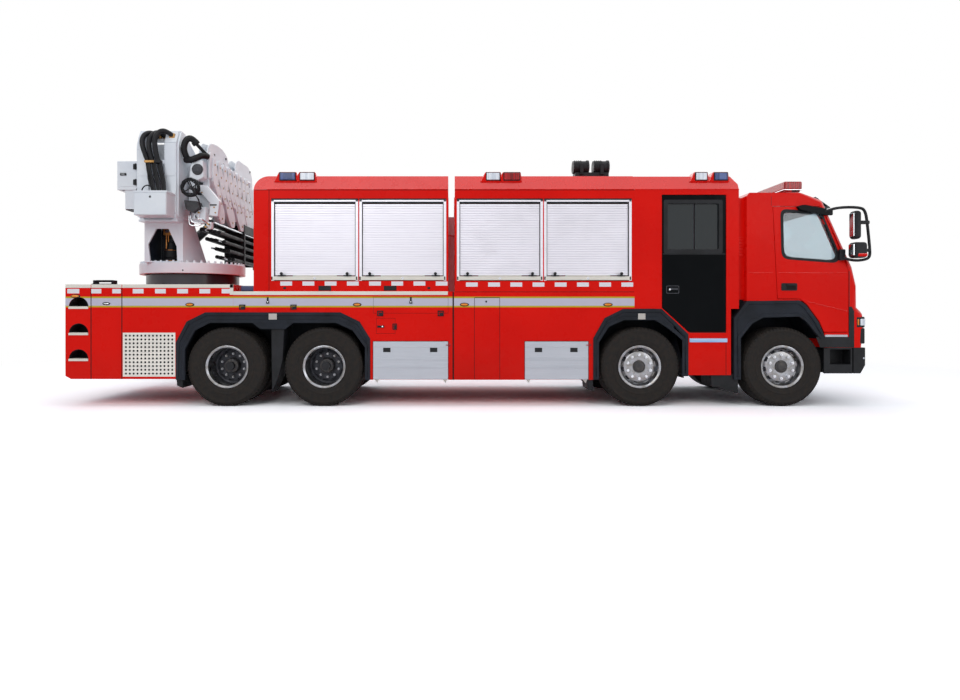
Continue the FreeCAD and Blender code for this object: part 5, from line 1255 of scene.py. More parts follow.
def crew_door_fittings(name, out):
    """Window frame with a sliding pair of panes, trim line and latch of one crew door."""
    body = "crew_door_" + name
    opening = ((2.787, 2.867), (3.555, 2.867), (3.555, 2.176), (2.787, 2.176))
    bm = bmesh.new()
    for x in ((2.790, 3.190), (3.206, 3.552)):
        slab(bm, x, (out * (SIDE - 0.030), out * (SIDE - 0.024)), (2.180, 2.864))
    piece(body + "_panes", bm, DARK_GLASS, body)
    bm = bmesh.new()
    window_seal(bm, out, eased(swollen(opening, 0.030), 0.03), 0.055, 0.006, 0.036)
    slab(bm, (3.196, 3.202), (out * (SIDE - 0.034), out * (SIDE - 0.012)), (2.18, 2.865))
    on_side(bm, out, (2.745, 3.622), (2.128, 2.146), 0.004)
    piece(body + "_frame", bm, BLACK_PLASTIC_AND_SHADE, body, bevel=0.003)
    bm = bmesh.new()
    for x in (3.184, 3.205):
        slab(bm, (x - 0.003, x + 0.003), (out * (SIDE - 0.032), out * (SIDE - 0.020)), (2.20, 2.845))
    piece(body + "_pane_edges", bm, WHEEL_DARK, body)
    bm = bmesh.new()
    slot_line = eased(((2.793, 1.694), (2.975, 1.694), (2.975, 1.582), (2.793, 1.582)), 0.015)
    window_seal(bm, out, slot_line, 0.010, 0.005, 0.004)
    slab(bm, (2.835, 2.955), (out * SIDE, out * (SIDE + 0.012)), (1.632, 1.662))
    piece(body + "_latch", bm, WHEEL_DARK, body, bevel=0.003)
    bm = bmesh.new()
    drum(bm, at(2.840, out * SIDE, 1.640), at(2.840, out * (SIDE + 0.016), 1.640), 0.014)
    piece(body + "_lock", bm, CHROME, body, bevel=0.002)


def crew_steps():
    """Aluminium step edge, whose blue is a painted sky reflection, and dark strips below each crew door that
    paint the shade of its toe space.
    """
    bm = bmesh.new()
    both(bm, (3.118, 3.648), (SIDE - 0.06, SIDE + 0.009), (0.900, 0.954))
    for turn in range(18):
        x = 3.124 + turn * 0.029
        both(bm, (x, x + 0.014), (SIDE - 0.05, SIDE + 0.011), (0.950, 0.958))
    piece("crew_step_edges", bm, BLUE_STEP, "chassis", bevel=0.006)
    bm = bmesh.new()
    # The dark strips below each crew door paint the shade of its toe space.
    both(bm, (3.118, 3.630), (SIDE - 0.004, SIDE + 0.001), (1.034, 1.046))
    both(bm, (3.628, 3.634), (SIDE - 0.004, SIDE + 0.001), (0.445, 0.9))
    piece("crew_toe_space_shade", bm, SEAM_AND_SHADE, "chassis")
    bm = bmesh.new()
    for x in ((-2.800, -0.262), (-0.166, 2.345), (2.352, 3.815)):
        both(bm, x, (SIDE - 0.004, SIDE + 0.006), (3.036, 3.050))
    piece("eave_gutters", bm, RED, "chassis", bevel=0.004)


# Roof-edge lamps: limits along X and the lens of each.
EDGE_LAMPS = ((-2.631, -2.405, BLUE_LENS), (-2.345, -2.139, WHITE_LENS), (0.273, 0.469, WHITE_LENS),
              (0.519, 0.749, RED_LENS), (3.213, 3.381, WHITE_LENS), (3.479, 3.668, BLUE_LENS))


def edge_lamps():
    """Flashing and work lamps in flared red housings along both roof edges."""
    housings, bezels = bmesh.new(), bmesh.new()
    for _, out in SIDES:
        for start, end, _ in EDGE_LAMPS:
            outline = ((start - 0.085, 3.150), (start - 0.012, 3.296), (end + 0.012, 3.296),
                       (end + 0.030, 3.150))
            plate(housings, [at(x, out * (SIDE - 0.20), z) for x, z in outline], (0, out * 0.165, 0))
            slab(bezels, (start - 0.004, end + 0.004), (out * (SIDE - 0.05), out * (SIDE - 0.024)),
                 (3.170, 3.290))
    piece("edge_lamp_housings", housings, RED, "chassis", bevel=0.014, segments=3)
    piece("edge_lamp_bezels", bezels, BLACK_PLASTIC_AND_SHADE, "chassis", bevel=0.006)
    for label, lens in (("white", WHITE_LENS), ("blue", BLUE_LENS), ("red", RED_LENS)):
        bm = bmesh.new()
        for _, out in SIDES:
            for start, end, found in EDGE_LAMPS:
                if found is lens:
                    slab(bm, (start + 0.008, end - 0.008), (out * (SIDE - 0.03), out * (SIDE - 0.014)),
                         (3.182, 3.278))
        piece("edge_lamp_%s_lenses" % label, bm, lens, "chassis", bevel=0.007, segments=3)


def search_lamps():
    """Lenses, rims and cooling ribs of the twin lamp unit on the front locker."""
    lenses, rims = bmesh.new(), bmesh.new()
    for start in (1.60, 1.90):
        drum(lenses, at(start + 0.226, -0.63, 3.485), at(start + 0.238, -0.63, 3.485), 0.084, sides=32)
        for x in (start + 0.02, start + 0.05, start + 0.08, start + 0.11):
            drum(rims, at(x, -0.63, 3.485), at(x + 0.012, -0.63, 3.485), 0.104, sides=32)
        drum(rims, at(start + 0.20, -0.63, 3.485), at(start + 0.232, -0.63, 3.485), 0.106, sides=32)
        slab(rims, (start + 0.09, start + 0.14), (-0.75, -0.51), (3.36, 3.40))
        for y in (-0.75, -0.53):
            slab(rims, (start + 0.09, start + 0.14), (y, y + 0.02), (3.37, 3.52))
    piece("search_lamp_lenses", lenses, WHITE_LENS, "chassis", bevel=0.003)
    piece("search_lamp_rims", rims, BLACK_PLASTIC_AND_SHADE, "chassis", bevel=0.003)


def mud_flaps():
    """Rubber flaps behind and ahead of the wheels, hung inside the body's edges."""
    bm = bmesh.new()
    for outline in (((3.420, 0.450), (3.812, 0.450), (3.812, 0.178), (3.710, 0.205), (3.560, 0.262),
                     (3.440, 0.278)),
                    ((1.690, 0.420), (1.775, 0.420), (1.775, 0.215), (1.700, 0.235)),
                    ((-4.081, 0.440), (-3.985, 0.440), (-3.985, 0.255), (-4.070, 0.290)),
                    ((-2.745, 1.100), (-2.560, 1.100), (-2.585, 0.640), (-2.640, 0.420), (-2.735, 0.190))):
        for _, out in SIDES:
            plate(bm, [at(x, out * 0.86, z) for x, z in outline], (0, out * 0.37, 0))
    piece("mud_flaps", bm, BLACK_PLASTIC_AND_SHADE, "chassis", bevel=0.01)


for name, out in SIDES:
    crew_door_fittings(name, out)
mud_flaps()
crew_steps()
edge_lamps()
search_lamps()


# ---------------------------------------------------------------- turret

def turret_covers():
    """Cover plates on the cheeks' back edges, doubler plates on their flanks, and the hose bulkhead."""
    bm = bmesh.new()
    for low, high in ((-4.772, -4.615), (-4.385, -4.213)):
        slab(bm, (low, high), (-0.918, -0.900), (2.700, 3.786))
        plate(bm, [at(low, -0.902, 3.786), at(high, -0.902, 3.786), at(high, -0.812, 3.976),
                   at(low, -0.812, 3.976)], (0, -0.012, 0.006))
        slab(bm, (low + 0.012, high - 0.012), (-0.924, -0.916), (3.30, 3.76))
    outline = eased(((-0.885, 2.72), (-0.885, 3.765), (-0.780, 3.985), (-0.665, 3.985), (-0.230, 3.755),
                     (-0.230, 3.42), (-0.300, 2.72)), 0.05)
    for x, thick in ((-4.800, 0.050), (-4.210, 0.022)):
        plate(bm, [at(x, y, z) for y, z in outline], (thick, 0, 0))
    drum(bm, at(-4.826, -0.55, 3.72), at(-4.798, -0.55, 3.72), 0.120, sides=32)
    slab(bm, (-4.690, -4.270), (-0.765, -0.715), (3.830, 3.915))
    slab(bm, (-4.615, -4.385), (-0.930, -0.912), (3.470, 3.530))
    piece("cheek_covers", bm, WHITE, "turret", bevel=0.007, segments=3)
    bm = bmesh.new()
    for k in range(8):
        turn = k * math.tau / 8
        drum(bm, at(-4.834, -0.55 + 0.088 * math.cos(turn), 3.72 + 0.088 * math.sin(turn)),
             at(-4.824, -0.55 + 0.088 * math.cos(turn), 3.72 + 0.088 * math.sin(turn)), 0.011, sides=6)
    for x in (-4.76, -4.627, -4.373, -4.225):
        for z in (2.76, 3.05, 3.34, 3.68):
            drum(bm, at(x, -0.922, z), at(x, -0.916, z), 0.007, sides=6)
    piece("cheek_bolts", bm, CHROME, "turret")


def turret_hoses():
    """Three thick hoses over the cheeks and the bundle that feeds them from the rear box."""
    thick = (((-4.600, -0.955, 3.50), (-4.660, -0.975, 3.66), (-4.690, -0.970, 3.81), (-4.655, -0.915, 3.925),
              (-4.580, -0.810, 3.952), (-4.520, -0.765, 3.90)),
             ((-4.530, -0.960, 3.50), (-4.578, -0.985, 3.66), (-4.578, -0.975, 3.83), (-4.530, -0.885, 3.945),
              (-4.460, -0.800, 3.955), (-4.430, -0.765, 3.90)),
             ((-4.452, -0.960, 3.50), (-4.492, -1.000, 3.70), (-4.478, -1.000, 3.86), (-4.420, -0.960, 3.945),
              (-4.345, -0.925, 3.950), (-4.290, -0.860, 3.90)))
    pipe("thick_hoses", [[at(*point) for point in route] for route in thick], 0.036, RUBBER, "turret")
    thin = []
    for turn in range(9):
        shift = 0.014 * (turn % 3)
        thin.append([at(-4.625 + turn * 0.027, -0.950 - shift, 3.50),
                     at(-4.612 + turn * 0.029, -0.965 - shift, 3.36),
                     at(-4.530 + turn * 0.026, -0.995 - shift, 3.16),
                     at(-4.500 + turn * 0.022, -1.010 - shift, 3.02)])
    pipe("thin_hoses", thin, 0.0145, RUBBER, "turret")
    loops = (((-4.675, -1.00, 3.02), (-4.665, -1.02, 3.10), (-4.580, -1.03, 3.155), (-4.500, -1.02, 3.11),
              (-4.490, -1.00, 3.02)),
             ((-4.925, -0.52, 3.38), (-4.850, -0.62, 3.36), (-4.835, -0.80, 3.14), (-4.800, -0.95, 3.03),
              (-4.680, -1.02, 3.00)),
             ((-4.560, -0.960, 3.50), (-4.600, -1.00, 3.30), (-4.520, -1.05, 3.12), (-4.480, -1.06, 3.02)))
    pipe("loose_lines", [[at(*point) for point in route] for route in loops], 0.009, RUBBER, "turret")
    bm = bmesh.new()
    for x in (-4.600, -4.530):
        slab(bm, (x - 0.040, x + 0.034), (-1.000, -0.925), (3.478, 3.512))
    for x, y in ((-4.520, -0.765), (-4.430, -0.765)):
        drum(bm, at(x, y, 3.93), at(x, y + 0.01, 3.885), 0.040)
    slab(bm, (-4.330, -4.250), (-0.885, -0.850), (3.86, 3.93))
    piece("hose_clamps", bm, BRONZE, "turret", bevel=0.006)
    bm = bmesh.new()
    slab(bm, (-4.494, -4.405), (-1.006, -0.925), (3.474, 3.520))
    slab(bm, (-4.510, -4.300), (-1.060, -0.985), (3.028, 3.046))
    piece("hose_guides", bm, BLACK_PLASTIC_AND_SHADE, "turret", bevel=0.006)


# Where the slip ring's axis stands, as X and Y.
SLIP_RING = (-4.500, -0.38)


def turret_boxes():
    """Cabinet door, hinges and handle, rear box lid and lock, slip ring, rim bolts, and dark plates in the
    pedestal's arch opening that paint the shadow inside it.
    """
    bm = bmesh.new()
    slab(bm, (-5.184, -4.941), (-0.606, -0.598), (3.208, 3.560))
    slab(bm, (-4.700, -4.220), (-1.208, -0.905), (3.010, 3.036))
    slab(bm, (-4.682, -4.238), (-1.206, -1.198), (2.700, 2.998))
    piece("cabinet_doors", bm, WHITE, "turret", bevel=0.004)
    bm = bmesh.new()
    for z in (3.504, 3.270):
        slab(bm, (-4.985, -4.928), (-0.622, -0.598), (z - 0.040, z + 0.040))
        drum(bm, at(-4.945, -0.622, z - 0.046), at(-4.945, -0.622, z + 0.046), 0.012)
    slab(bm, (-5.182, -5.090), (-0.620, -0.600), (3.372, 3.408))
    dome(bm, at(-4.456, -1.206, 2.948), (0.016, 0.010, 0.016))
    dome(bm, at(-4.176, -0.772, 1.941), (0.011, 0.008, 0.011))
    slab(bm, (-5.118, -4.936), (-0.575, -0.365), (2.858, 2.872))
    piece("cabinet_fittings", bm, BLACK_PLASTIC_AND_SHADE, "turret", bevel=0.004)
    bm = bmesh.new()
    slab(bm, (-5.160, -5.112), (-0.623, -0.612), (3.386, 3.394))
    drum(bm, at(-4.452, -1.214, 2.944), at(-4.452, -1.204, 2.944), 0.007)
    piece("cabinet_locks", bm, CHROME, "turret")
    bm = bmesh.new()
    for turn in range(48):
        angle = turn * math.tau / 48
        foot = at(0.757 * math.cos(angle) - TURRET_BACK, 0.757 * math.sin(angle), 2.058)
        drum(bm, foot, foot + Vector((0, 0, 0.014)), 0.022, sides=12)
        drum(bm, foot + Vector((0, 0, 0.012)), foot + Vector((0, 0, 0.034)), 0.016, sides=6)
    piece("disc_rim_bolts", bm, WHITE, "turret")
    bm = bmesh.new()
    for low, high, radius in ((2.062, 2.100, 0.130), (2.106, 2.140, 0.118), (2.150, 2.262, 0.122),
                              (2.268, 2.300, 0.108), (2.300, 2.385, 0.090), (2.392, 2.430, 0.098),
                              (2.430, 2.500, 0.070)):
        drum(bm, at(*SLIP_RING, low), at(*SLIP_RING, high), radius, sides=32)
    piece("slip_ring", bm, BLACK_PLASTIC_AND_SHADE, "turret", bevel=0.004)
    bm = bmesh.new()
    slab(bm, (-4.600, -4.478), (-0.47, -0.36), (2.496, 2.615))
    for low, high in ((2.098, 2.108), (2.260, 2.270)):
        drum(bm, at(*SLIP_RING, low), at(*SLIP_RING, high), 0.112, sides=32)
    drum(bm, at(-4.535, -0.500, 2.28), at(-4.535, -0.500, 2.50), 0.011)
    drum(bm, at(-4.505, -0.495, 2.39), at(-4.505, -0.495, 2.50), 0.009)
    piece("slip_ring_copper", bm, COPPER, "turret", bevel=0.003)
    bm = bmesh.new()
    slab(bm, (-4.565, -4.512), (-0.482, -0.468), (2.53, 2.575))
    drum(bm, at(-4.540, -0.49, 2.545), at(-4.470, -0.50, 2.590), 0.012)
    # The navy-black plate behind the arch opening and the two walls beside it are painted shadow of the
    # pedestal's inside.
    slab(bm, (-4.732, -4.228), (-0.232, -0.224), (2.095, 2.630))
    for x in (-4.7345, -4.2295):
        slab(bm, (x, x + 0.004), (-0.686, -0.235), (2.066, 2.632))
    piece("slip_ring_lines_and_shadow_liner", bm, RING_BLUE, "turret", bevel=0.003)


COLLAR_START, COLLAR_PITCH = -0.545, 0.22


def collar_half(rider):
    """Half width of the boom section a collar plate rides on, from the folding arm inwards."""
    return 0.165 - 0.022 * rider


def arm_plates():
    """Hump plates on the main arm, slanted collar plates on the telescope, and the top ram."""
    bm = bmesh.new()
    for outline in (((-0.35, 3.575), (-0.37, 3.840), (-0.25, 3.950), (0.00, 3.985), (0.28, 3.980),
                     (0.52, 3.900), (0.60, 3.720), (0.94, 3.680), (0.94, 3.575)),
                    ((0.90, 3.560), (0.90, 3.880), (1.04, 3.990), (1.62, 3.990), (1.82, 3.880),
                     (1.88, 3.560))):
        for x in (-4.100, -3.975):
            plate(bm, [at(x, y, z) for y, z in eased(outline, 0.08)], (0.018, 0, 0))
    for y, z in ((0.10, 3.86), (0.78, 3.60), (1.20, 3.88), (1.66, 3.88)):
        drum(bm, at(-4.100, y, z), at(-3.957, y, z), 0.028)
    piece("arm_hump_plates", bm, WHITE, "fold_arm", bevel=0.005)
    bm = bmesh.new()
    # Dark discs on the hump plates paint the shade inside their holes.
    for y, z in ((-0.10, 3.80), (0.30, 3.74), (0.42, 3.86), (1.02, 3.70), (1.50, 3.66), (1.70, 3.92)):
        drum(bm, at(-3.958, y, z), at(-3.950, y, z), 0.020)
    piece("arm_hump_hole_shade", bm, SEAM_AND_SHADE, "fold_arm")
    plates = {k: bmesh.new() for k in range(4)}
    gaps = {k: bmesh.new() for k in range(4)}
    bolts = {k: bmesh.new() for k in range(4)}
    for turn in range(8):
        start = COLLAR_START + COLLAR_PITCH * turn
        rider = 3 if start < -0.12 else 2 if start < 0.32 else 1 if start < 0.76 else 0
        corners = ((start, 3.30), (start, 3.60), (start + 0.03, 3.655), (start + 0.10, 3.66),
                   (start + 0.135, 3.60), (start + 0.375, 3.10), (start + 0.345, 3.04),
                   (start + 0.26, 3.04))
        half = collar_half(rider)
        plate(plates[rider], [at(-4.0 + half, y, z) for y, z in corners], (0.192 - half, 0, 0))
        gap = ((start + 0.110, 3.58), (start + 0.215, 3.58), (start + 0.460, 3.09), (start + 0.350, 3.09))
        plate(gaps[rider], [at(-4.0 + half, y, z) for y, z in gap], (0.172 - half, 0, 0))
        for y, z in ((0.070, 3.56), (0.120, 3.42), (0.200, 3.27), (0.290, 3.12)):
            drum(bolts[rider], at(-3.810, start + y, z), at(-3.803, start + y, z), 0.016, sides=6)
    for rider, start in ((3, -0.50), (2, -0.02), (1, 0.46), (0, 0.94)):
        corners = eased(((start, 3.10), (start + 0.30, 3.10), (start + 0.47, 2.90), (start + 0.47, 2.72),
                         (start + 0.30, 2.70), (start + 0.10, 2.90)), 0.05)
        half = collar_half(rider)
        plate(plates[rider], [at(-4.0 + half, y, z) for y, z in corners], (0.187 - half, 0, 0))
        for y, z in ((0.36, 2.79), (0.12, 3.00), (0.30, 3.02)):
            drum(bolts[rider], at(-3.815, start + y, z), at(-3.806, start + y, z), 0.017, sides=6)
    for rider in range(4):
        body = "telescope_section_%d" % rider if rider else "fold_arm"
        piece(body + "_collar_plates", plates[rider], WHITE, body, bevel=0.006)
        piece(body + "_collar_gaps", gaps[rider], SEAM_AND_SHADE, body)
        piece(body + "_collar_bolts", bolts[rider], BRONZE, body)
    bm = bmesh.new()
    drum(bm, at(-3.880, 0.02, 3.632), at(-3.880, 1.34, 3.632), 0.050, sides=28)
    for y in (0.80, 1.26):
        slab(bm, (-3.945, -3.815), (y, y + 0.05), (3.552, 3.640))
    piece("top_ram", bm, WHITE, "fold_arm", bevel=0.006)
    bm = bmesh.new()
    drum(bm, at(-3.880, -0.02, 3.632), at(-3.880, 0.03, 3.632), 0.054, sides=28)
    drum(bm, at(-3.880, -0.10, 3.632), at(-3.880, -0.02, 3.632), 0.024, sides=20)
    piece("top_ram_end", bm, CHROME, "fold_arm", bevel=0.003)


def under_boom_lines():
    """Bundle of rigid tubes hung below the folding arm, with bright lines among them and their hangers."""
    dark, bright = [], []
    for column in range(5):
        for row in range(5):
            x, z, start = -4.110 + 0.068 * column, 2.740 - 0.125 * row - 0.012 * column, -0.45 + 0.22 * row
            route = [at(x, start, z), at(x, start + 0.6, z - 0.01), at(x, 3.3, z - 0.02)]
            (bright if (column * 2 + row) % 5 == 3 else dark).append(route)
    pipe("under_boom_tubes", dark, 0.031, BLACK_PLASTIC_AND_SHADE, "fold_arm")
    pipe("under_boom_bright_tubes", bright, 0.016, CHROME, "fold_arm")
    bm = bmesh.new()
    for y in (0.90, 1.70, 2.50, 3.20):
        slab(bm, (-4.150, -3.800), (y, y + 0.05), (2.150, 2.840))
    for y in (0.95, 1.75):
        slab(bm, (-3.830, -3.800), (y, y + 0.75), (2.690, 2.830))
    piece("under_boom_hangers", bm, BLACK_FRAME, "fold_arm", bevel=0.004)


COIL_X, COIL_Z = -4.0, 3.13


def boom_tip():
    """Head of the inner section: cup with grey discs that paint the shade in its recess, cranked bracket,
    cable drum, a dark plate below the cable coil that paints the shadow there, valves and hose.
    """
    body = "telescope_section_3"
    bm = bmesh.new()
    cup = ((-4.020, 3.580), (-3.880, 3.560), (-3.868, 3.310), (-3.950, 3.262), (-4.070, 3.312),
           (-4.062, 3.460))
    plate(bm, [at(x, -0.780, z) for x, z in cup], (0, 0.170, 0))
    crank = ((-4.074, 3.232), (-3.845, 3.203), (-3.660, 2.974), (-3.687, 2.745), (-3.816, 2.760),
             (-3.801, 2.946))
    plate(bm, [at(x, -0.700, z) for x, z in crank], (0, 0.096, 0))
    ear = eased(((-0.640, 3.30), (-0.640, 3.700), (-0.560, 3.750), (-0.400, 3.700), (-0.400, 3.44)), 0.06)
    plate(bm, [at(-3.852, y, z) for y, z in ear], (0.026, 0, 0))
    slab(bm, (-4.060, -3.850), (-0.745, -0.604), (2.650, 2.880))
    slab(bm, (-4.020, -3.930), (-0.775, -0.740), (2.690, 2.830))
    slab(bm, (-3.850, -3.770), (-0.720, -0.640), (2.560, 2.660))
    piece("boom_tip_castings", bm, WHITE, body, bevel=0.010, segments=3)
    bm = bmesh.new()
    # The grey disc paints the shade in the cup's recess, and the dark pentagon below the cable coil paints
    # the shadow under it.
    drum(bm, at(-3.955, -0.792, 3.425), at(-3.955, -0.770, 3.425), 0.082, sides=32)
    housing = ((-4.120, 2.960), (-3.935, 2.945), (-3.905, 2.850), (-3.990, 2.775), (-4.100, 2.830))
    plate(bm, [at(x, -0.860, z) for x, z in housing], (0, 0.200, 0))
    slab(bm, (-3.800, -3.700), (-0.708, -0.700), (2.905, 2.925))
    piece("boom_tip_shadow_plates", bm, IRON_AND_SHADE, body, bevel=0.012, segments=3)
    bm = bmesh.new()
    # The darker disc and bar paint the deepest shade in the cup's recess.
    drum(bm, at(-3.955, -0.798, 3.445), at(-3.955, -0.788, 3.445), 0.060, sides=32)
    slab(bm, (-4.020, -3.890), (-0.800, -0.780), (3.385, 3.445))
    piece("boom_tip_recess_shade", bm, WHEEL_DARK, body, bevel=0.006)
    bm = bmesh.new()
    drum(bm, at(COIL_X, -0.93, COIL_Z), at(COIL_X, -0.604, COIL_Z), 0.026, sides=20)
    for turn in range(4):
        angle = 0.5 + turn * math.tau / 4
        hook = at(COIL_X + 0.105 * math.cos(angle), -0.905, COIL_Z + 0.105 * math.sin(angle))
        drum(bm, at(COIL_X, -0.905, COIL_Z), hook, 0.008, sides=10)
        drum(bm, hook, hook + Vector((0, -0.07, 0)), 0.008, sides=10)
    piece("cable_hanger", bm, IRON_AND_SHADE, body, bevel=0.003)
    wound, slack = [], []
    for turn in range(150):
        angle, reach = turn * math.tau / 17, 0.122 + 0.014 * math.sin(turn * 0.9)
        wound.append(at(COIL_X + reach * math.cos(angle), -0.925 - 0.026 * math.sin(turn * 0.31),
                        COIL_Z + reach * math.sin(angle)))
    for turn in range(27):
        angle, reach = turn * 0.55, 0.112 + 0.022 * math.sin(turn * 1.3)
        slack.append(at(COIL_X + reach * math.cos(angle), -0.962 - 0.004 * (turn % 3),
                        COIL_Z + reach * math.sin(angle)))
    slack += [at(-3.90, -0.97, 3.00), at(-3.87, -0.92, 2.93), at(-3.90, -0.80, 2.84)]
    pipe("drum_cable", [wound, slack], 0.0085, RUBBER, body)
    bend = ((-4.060, -0.655, 3.600), (-4.100, -0.720, 3.560), (-4.135, -0.790, 3.640),
            (-4.140, -0.830, 3.740), (-4.100, -0.840, 3.850), (-4.020, -0.830, 3.880),
            (-3.975, -0.800, 3.820))
    link = ((-4.140, -0.740, 3.575), (-4.060, -0.800, 3.555), (-3.960, -0.800, 3.590),
            (-3.890, -0.740, 3.650), (-3.850, -0.660, 3.640))
    pipe("boom_tip_hose", [[at(*point) for point in route] for route in (bend, link)], 0.046, RUBBER, body,
         detail=4)
    bm = bmesh.new()
    drum(bm, at(-3.990, -0.806, 3.832), at(-3.960, -0.792, 3.790), 0.054, sides=28)
    plate(bm, [at(-4.000, -0.82, 3.800), at(-3.970, -0.82, 3.835), at(-3.850, -0.70, 3.690),
               at(-3.880, -0.70, 3.655)], (0, 0.05, 0))
    piece("boom_tip_hose_end", bm, BLACK_PLASTIC_AND_SHADE, body, bevel=0.006)
    lines = (((-4.085, -0.76, 2.75), (-4.080, -0.80, 2.62), (-4.020, -0.80, 2.590), (-3.900, -0.78, 2.600),
              (-3.865, -0.74, 2.66)),
             ((-4.060, -0.77, 2.80), (-4.050, -0.82, 2.67), (-3.980, -0.82, 2.625), (-3.880, -0.78, 2.640)),
             ((-3.980, -0.78, 2.74), (-3.960, -0.83, 2.68), (-3.880, -0.82, 2.700), (-3.830, -0.72, 2.640)))
    pipe("boom_tip_lines", [[at(*point) for point in route] for route in lines], 0.011, CHROME, body)
    bm = bmesh.new()
    for x, z in ((-3.985, 2.845), (-3.940, 2.790), (-3.955, 2.700), (-3.835, 2.580), (-3.800, 2.620)):
        drum(bm, at(x, -0.790, z), at(x, -0.730, z), 0.014, sides=6)
    for x, z in ((-3.72, 2.80), (-3.74, 2.88), (-3.92, 3.10)):
        drum(bm, at(x, -0.708, z), at(x, -0.698, z), 0.012, sides=6)
    piece("boom_tip_fittings", bm, BRONZE, body)


def deck_items():
    """Folded bracket and navy cover on the turret deck, and the lamp on the locker's rear wall."""
    bm = bmesh.new()
    slab(bm, (-5.341, -5.033), (-1.10, -0.96), (1.712, 1.730))
    for x in (-5.32, -5.06):
        slab(bm, (x, x + 0.03), (-1.10, -0.98), (1.712, 1.778))
    drum(bm, at(-5.30, -1.06, 1.765), at(-5.05, -1.06, 1.765), 0.016)
    piece("deck_bracket", bm, ARCH, "chassis", bevel=0.006)
    bm = bmesh.new()
    slab(bm, (-3.185, -2.961), (-1.20, -0.60), (1.612, 1.694))
    piece("deck_cover", bm, NAVY, "chassis", bevel=0.02, segments=3)
    bm = bmesh.new()
    drum(bm, at(-2.984, -0.60, 3.02), at(-3.100, -0.60, 3.02), 0.050)
    dome(bm, at(-3.080, -0.60, 3.05), (0.075, 0.085, 0.085))
    piece("rear_work_lamp", bm, BLACK_PLASTIC_AND_SHADE, "chassis")


# Where the lenses, reflective film and panel gaps of the tail lie along X.
TAIL_LENS, TAIL_FILM, TAIL_GAP = (-5.6395, -5.625), (-5.6225, -5.6195), (-5.6222, -5.6198)


def tail_face():
    """Lamp clusters, reflectors and blank plate on the tail buffer, and reflective squares above it."""
    red, amber, white, black = bmesh.new(), bmesh.new(), bmesh.new(), bmesh.new()
    for _, out in SIDES:
        slab(black, (-5.6385, -5.622), (out * 0.560, out * 0.960), (0.745, 0.905))
        slab(red, TAIL_LENS, (out * 0.800, out * 0.945), (0.760, 0.890))
        slab(amber, TAIL_LENS, (out * 0.690, out * 0.790), (0.760, 0.890))
        slab(white, TAIL_LENS, (out * 0.575, out * 0.680), (0.760, 0.890))
        slab(red, TAIL_LENS, (out * 0.800, out * 0.945), (0.620, 0.670))
        for z in (1.36, 1.60):
            slab(red, (-5.6280, -5.620), (out * 1.080, out * 1.180), (z, z + 0.06))
    piece("tail_lamp_housings", black, BLACK_PLASTIC_AND_SHADE, "chassis", bevel=0.003)
    piece("tail_lamps_red", red, RED_LENS, "chassis", bevel=0.002)
    piece("tail_lamps_amber", amber, AMBER_LENS, "chassis", bevel=0.002)
    piece("tail_lamps_white", white, WHITE_LENS, "chassis", bevel=0.002)
    bm = bmesh.new()
    slab(bm, (-5.6385, -5.625), (-0.26, 0.26), (0.640, 0.760))
    piece("rear_blank_plate", bm, PLATE, "chassis", bevel=0.004)
    bm = bmesh.new()
    for turn in range(10):
        y = -1.080 + turn * 0.216
        slab(bm, TAIL_FILM, (y, y + 0.108), (1.110, 1.165))
    slab(bm, TAIL_FILM, (-1.240, 1.240), (1.662, 1.712))
    piece("tail_reflective_squares", bm, FILM, "chassis")
    bm = bmesh.new()
    for y in (-0.62, 0.62):
        slab(bm, TAIL_GAP, (y - 0.003, y + 0.003), (1.20, 1.66))
    slab(bm, TAIL_GAP, (-1.10, 1.10), (1.195, 1.201))
    piece("tail_panel_gaps", bm, SEAM_AND_SHADE, "chassis")


deck_items()
tail_face()
turret_covers()
turret_hoses()
turret_boxes()
arm_plates()
under_boom_lines()
boom_tip()


# ---------------------------------------------------------------- stage

def white_for_camera(tree, lit, low_light):
    """White where the camera, a mirror or glass looks, and the plain surface or light elsewhere."""
    rays = add(tree, "LightPath")
    seen = add(tree, "Math", links={0: (rays, "Is Camera Ray"), 1: (rays, "Is Glossy Ray")},
               operation="MAXIMUM")
    seen = add(tree, "Math", links={0: (seen, "Value"), 1: (rays, "Is Transmission Ray")},
               operation="MAXIMUM")
    mix = add(tree, "MixShader", links={0: (seen, "Value")})
    tree.links.new(low_light.outputs[0], mix.inputs[1])
    tree.links.new(lit.outputs[0], mix.inputs[2])
    return mix


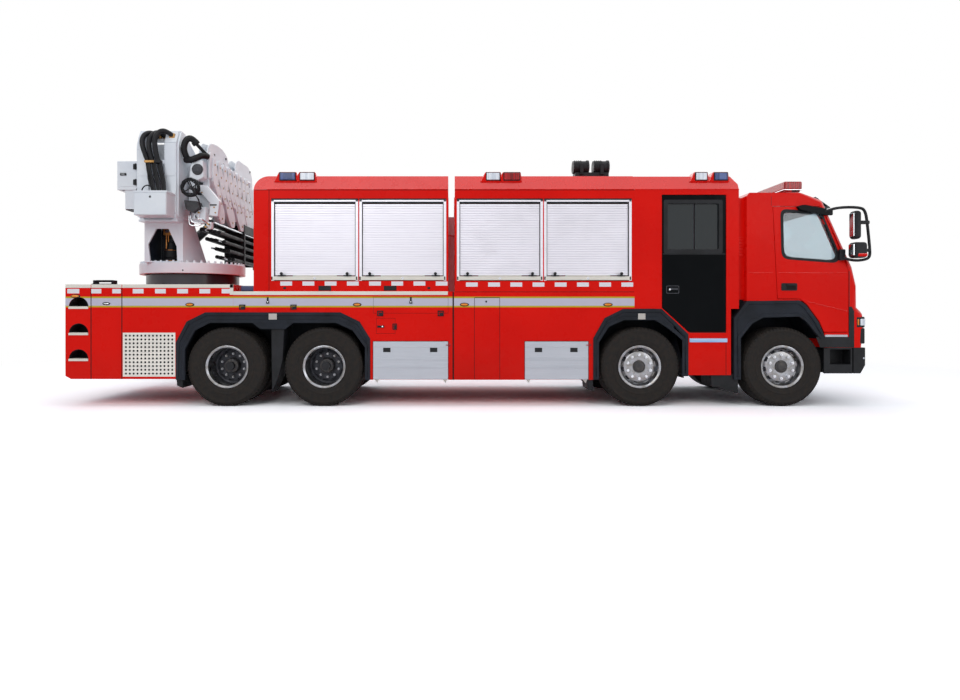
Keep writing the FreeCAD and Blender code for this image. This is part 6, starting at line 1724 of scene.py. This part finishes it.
def pale_floor():
    """Floor that is white where lamps reach it and keeps the truck's shadow, fading to white far away."""
    finish, tree, shader = begin("pale_floor", "D0D0D0", roughness=0.7)
    bright = add(tree, "BsdfDiffuse", {"Color": (FLOOR_LIFT, FLOOR_LIFT, FLOOR_LIFT, 1)})
    plain = add(tree, "BsdfDiffuse", {"Color": (0.62, 0.62, 0.62, 1)})
    near = white_for_camera(tree, bright, plain)
    far = add(tree, "Emission", {"Color": (1, 1, 1, 1), "Strength": 1.0})
    place = add(tree, "TexCoord")
    fitted = add(tree, "Mapping", {"Location": (-ZERO.x, -ZERO.y, 0)}, {"Vector": (place, "Object")})
    reach = add(tree, "VectorMath", links={0: (fitted, "Vector")}, operation="LENGTH")
    fade = add(tree, "MapRange", {"From Min": 7.5, "From Max": 13.0}, {"Value": (reach, "Value")})
    white = white_for_camera(tree, far, plain)
    mix = add(tree, "MixShader", links={0: (fade, "Result")})
    tree.links.new(near.outputs[0], mix.inputs[1])
    tree.links.new(white.outputs[0], mix.inputs[2])
    tree.links.new(mix.outputs[0], tree.nodes["Material Output"].inputs["Surface"])
    tree.nodes.remove(shader)
    return finish


FLOOR_LIFT = 1.5
LAMPS = (("key", (-6, -16, 12), 12, 1150, (0, 0, 1.6)), ("fill", (13, -13, 7), 9, 420, (2, 0, 1.5)),
         ("back", (-4, 16, 10), 12, 520, (0, 0, 1.5)), ("top", (0, 0, 15), 14, 620, (0, 0, 0)))


def stage():
    """Pale floor, white studio, soft lamps and a camera square to the right side."""
    bm = bmesh.new()
    bmesh.ops.create_grid(bm, x_segments=1, y_segments=1, size=300)
    floor_mesh = bpy.data.meshes.new("floor")
    bm.to_mesh(floor_mesh)
    bm.free()
    floor_mesh.materials.append(pale_floor())
    floor = bpy.data.objects.new("floor", floor_mesh)
    bpy.context.scene.collection.objects.link(floor)
    world = bpy.data.worlds.new("studio")
    bpy.context.scene.world = world
    world.use_nodes = True
    tree = world.node_tree
    dim = tree.nodes["Background"]
    dim.inputs["Color"].default_value = (0.86, 0.90, 1.0, 1)
    dim.inputs["Strength"].default_value = 0.45
    white = add(tree, "Background", {"Color": (1, 1, 1, 1), "Strength": 1.0})
    mix = white_for_camera(tree, white, dim)
    tree.links.new(mix.outputs[0], tree.nodes["World Output"].inputs["Surface"])
    for name, spot, size, power, aim in LAMPS:
        lamp = bpy.data.lights.new(name, "AREA")
        lamp.shape = "DISK"
        lamp.size = size
        lamp.energy = power
        holder = bpy.data.objects.new(name, lamp)
        bpy.context.scene.collection.objects.link(holder)
        holder.location = at(*spot)
        holder.rotation_euler = (at(*aim) - at(*spot)).to_track_quat("-Z", "Y").to_euler()
    camera = bpy.data.cameras.new("camera")
    camera.lens = 24.1
    camera.sensor_width = 36
    camera.shift_x = 0.031
    camera.shift_y = -0.040
    camera.clip_end = 1000
    eye = bpy.data.objects.new("camera", camera)
    bpy.context.scene.collection.objects.link(eye)
    eye.location = at(-0.231, -10.25, 1.33)
    eye.rotation_euler = (math.pi / 2, 0, 0)
    bpy.context.scene.camera = eye
    bpy.context.scene.view_settings.view_transform = "Standard"


stage()
